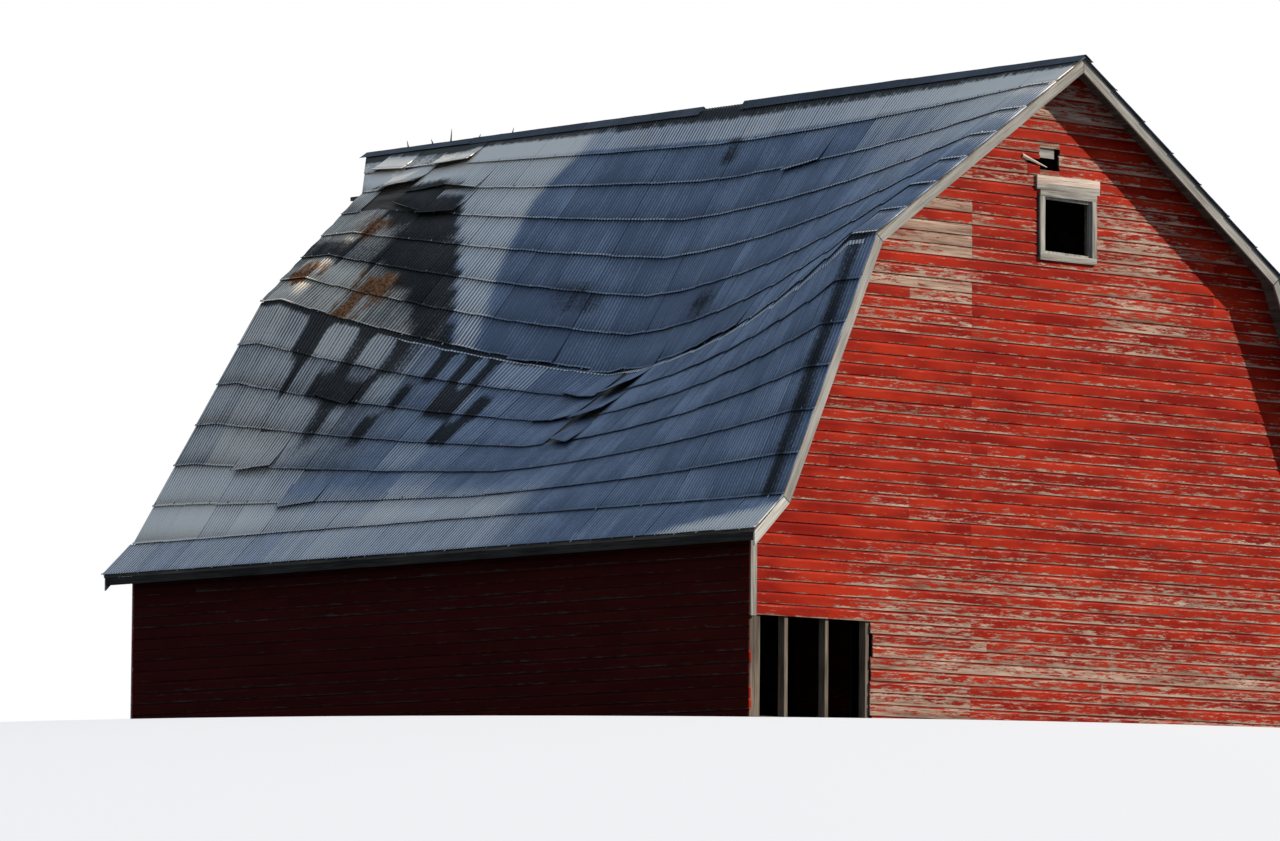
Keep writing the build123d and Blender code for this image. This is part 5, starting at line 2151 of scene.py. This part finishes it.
@dataclass
class Stage:
    """Plain pale floor: a low mound that falls away so that it never hides the foot."""

    flat: float = 9.5
    rim: float = 3.0
    reach: float = 420.0
    fall: float = 0.079
    sides: int = 96
    drop: float = 0.002
    colour: Triple = (0.74, 0.74, 0.75)
    bounce: Triple = (0.12, 0.125, 0.135)
    rough: float = 0.95
    sheen: float = 0.1

    def build(self) -> None:
        """Spins the outline of the mound about the upright axis."""
        mesh = bmesh.new()
        made = bmesh.ops.create_circle(mesh, cap_ends=True, segments=self.sides,
                                       radius=self.flat)["verts"]
        bmesh.ops.translate(mesh, verts=made, vec=(0, 0, -self.drop))
        ring = list({edge for vert in made for edge in vert.link_edges})
        for reach, drop in ((self.flat + self.rim, self.rim * self.fall / 2),
                            (self.reach, (self.reach - self.flat) * self.fall)):
            new = bmesh.ops.extrude_edge_only(mesh, edges=ring)["geom"]
            for vert in (item for item in new if isinstance(item, bmesh.types.BMVert)):
                flat = vert.co.xy.normalized() * reach
                vert.co = (flat.x, flat.y, -self.drop - drop)
            ring = [item for item in new if isinstance(item, bmesh.types.BMEdge)]
        bmesh.ops.recalc_face_normals(mesh, faces=mesh.faces[:])
        for face in mesh.faces:
            if face.normal.z < 0:
                face.normal_flip()
            face.smooth = True
        self._floor(mesh)

    def _floor(self, mesh: Mesh) -> bpy.types.Object:
        """Object of the floor, which throws less light back than the camera sees.

        Args:
            mesh: Shape of the floor.

        Returns:
            The object.
        """
        material = bpy.data.materials.new("floor")
        material.use_nodes = True
        maker = NodeMaker(material.node_tree)
        seen = maker.add("ShaderNodeLightPath").outputs["Is Camera Ray"]
        maker.feed(material.node_tree.nodes["Principled BSDF"], {
            "Base Color": maker.mix(seen, opaque(self.bounce), opaque(self.colour)),
            "Roughness": self.rough, "Specular IOR Level": self.sheen})
        return mesh_object("floor", mesh, material)


@dataclass(frozen=True)
class Lighting:
    """Low winter sun from the right and the soft blue light of the sky."""

    toward_sun: Triple = (0.711, -0.479, 0.515)
    sun_colour: Triple = (1.0, 0.93, 0.83)
    sun_strength: float = 5.6
    sun_angle: float = 0.6
    sky_colour: Triple = (0.62, 0.78, 1.0)
    sky_strength: float = 0.47

    def build(self) -> None:
        """Adds the sun lamp and a world that is white where the camera sees it."""
        sun = bpy.data.lights.new("sun", "SUN")
        sun.energy = self.sun_strength
        sun.color = self.sun_colour
        sun.angle = math.radians(self.sun_angle)
        lamp = add_object("sun", sun)
        lamp.rotation_euler = Vector(self.toward_sun).to_track_quat("Z", "Y").to_euler()
        world = bpy.data.worlds.new("studio")
        bpy.context.scene.world = world
        world.use_nodes = True
        world.node_tree.nodes.clear()
        maker = NodeMaker(world.node_tree)
        sky = maker.add("ShaderNodeBackground", {"Color": opaque(self.sky_colour),
                                                 "Strength": self.sky_strength})
        white = maker.add("ShaderNodeBackground", {"Color": opaque((1, 1, 1)), "Strength": 1.0})
        seen = maker.add("ShaderNodeLightPath").outputs["Is Camera Ray"]
        mixed = maker.add("ShaderNodeMixShader", {0: seen, 1: sky.outputs[0],
                                                  2: white.outputs[0]})
        maker.add("ShaderNodeOutputWorld", {"Surface": mixed.outputs[0]})


@dataclass(frozen=True)
class CameraSetting:
    """Place and turn of the camera that the reference shape was fitted with."""

    place: Triple = (-58.925, -65.052, -3.671)
    yaw: float = 0.7272
    pitch: float = 0.0873
    roll: float = 0.008
    lens: float = 206.68
    sensor: float = 36.0
    reach: float = 1000.0

    def build(self) -> None:
        """Sets up the scene's camera."""
        level = Vector((math.cos(self.yaw), -math.sin(self.yaw), 0.0))
        forward = Vector((math.sin(self.yaw) * math.cos(self.pitch),
                          math.cos(self.yaw) * math.cos(self.pitch), math.sin(self.pitch)))
        upright = level.cross(forward)
        right = level * math.cos(self.roll) + upright * math.sin(self.roll)
        up = upright * math.cos(self.roll) - level * math.sin(self.roll)
        data = bpy.data.cameras.new("camera")
        data.sensor_width = self.sensor
        data.lens = self.lens
        data.clip_end = self.reach
        camera = add_object("camera", data)
        turn = Matrix((right, up, -forward)).transposed().to_4x4()
        camera.matrix_world = Matrix.Translation(self.place) @ turn
        bpy.context.scene.camera = camera


def main() -> None:
    """Builds the looks of the barn on its CAD frame."""
    logging.basicConfig(level=logging.INFO, format="%(message)s")
    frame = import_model()
    shape = RoofShape()
    paints = Paintbox()
    Timber().dress(frame["nodes"], paints)
    RoofCovering(shape).build(paints)
    Siding(shape).build(paints)
    WindowTrim(shape).build(paints)
    TornPieces(shape).build(paints)
    KnuckleFringe(shape).build(paints)
    RakeBoards(shape).build(paints)
    Stage().build()
    Lighting().build()
    CameraSetting().build()
    bpy.context.scene.view_settings.view_transform = "Standard"


if __name__ == "__main__":
    main()
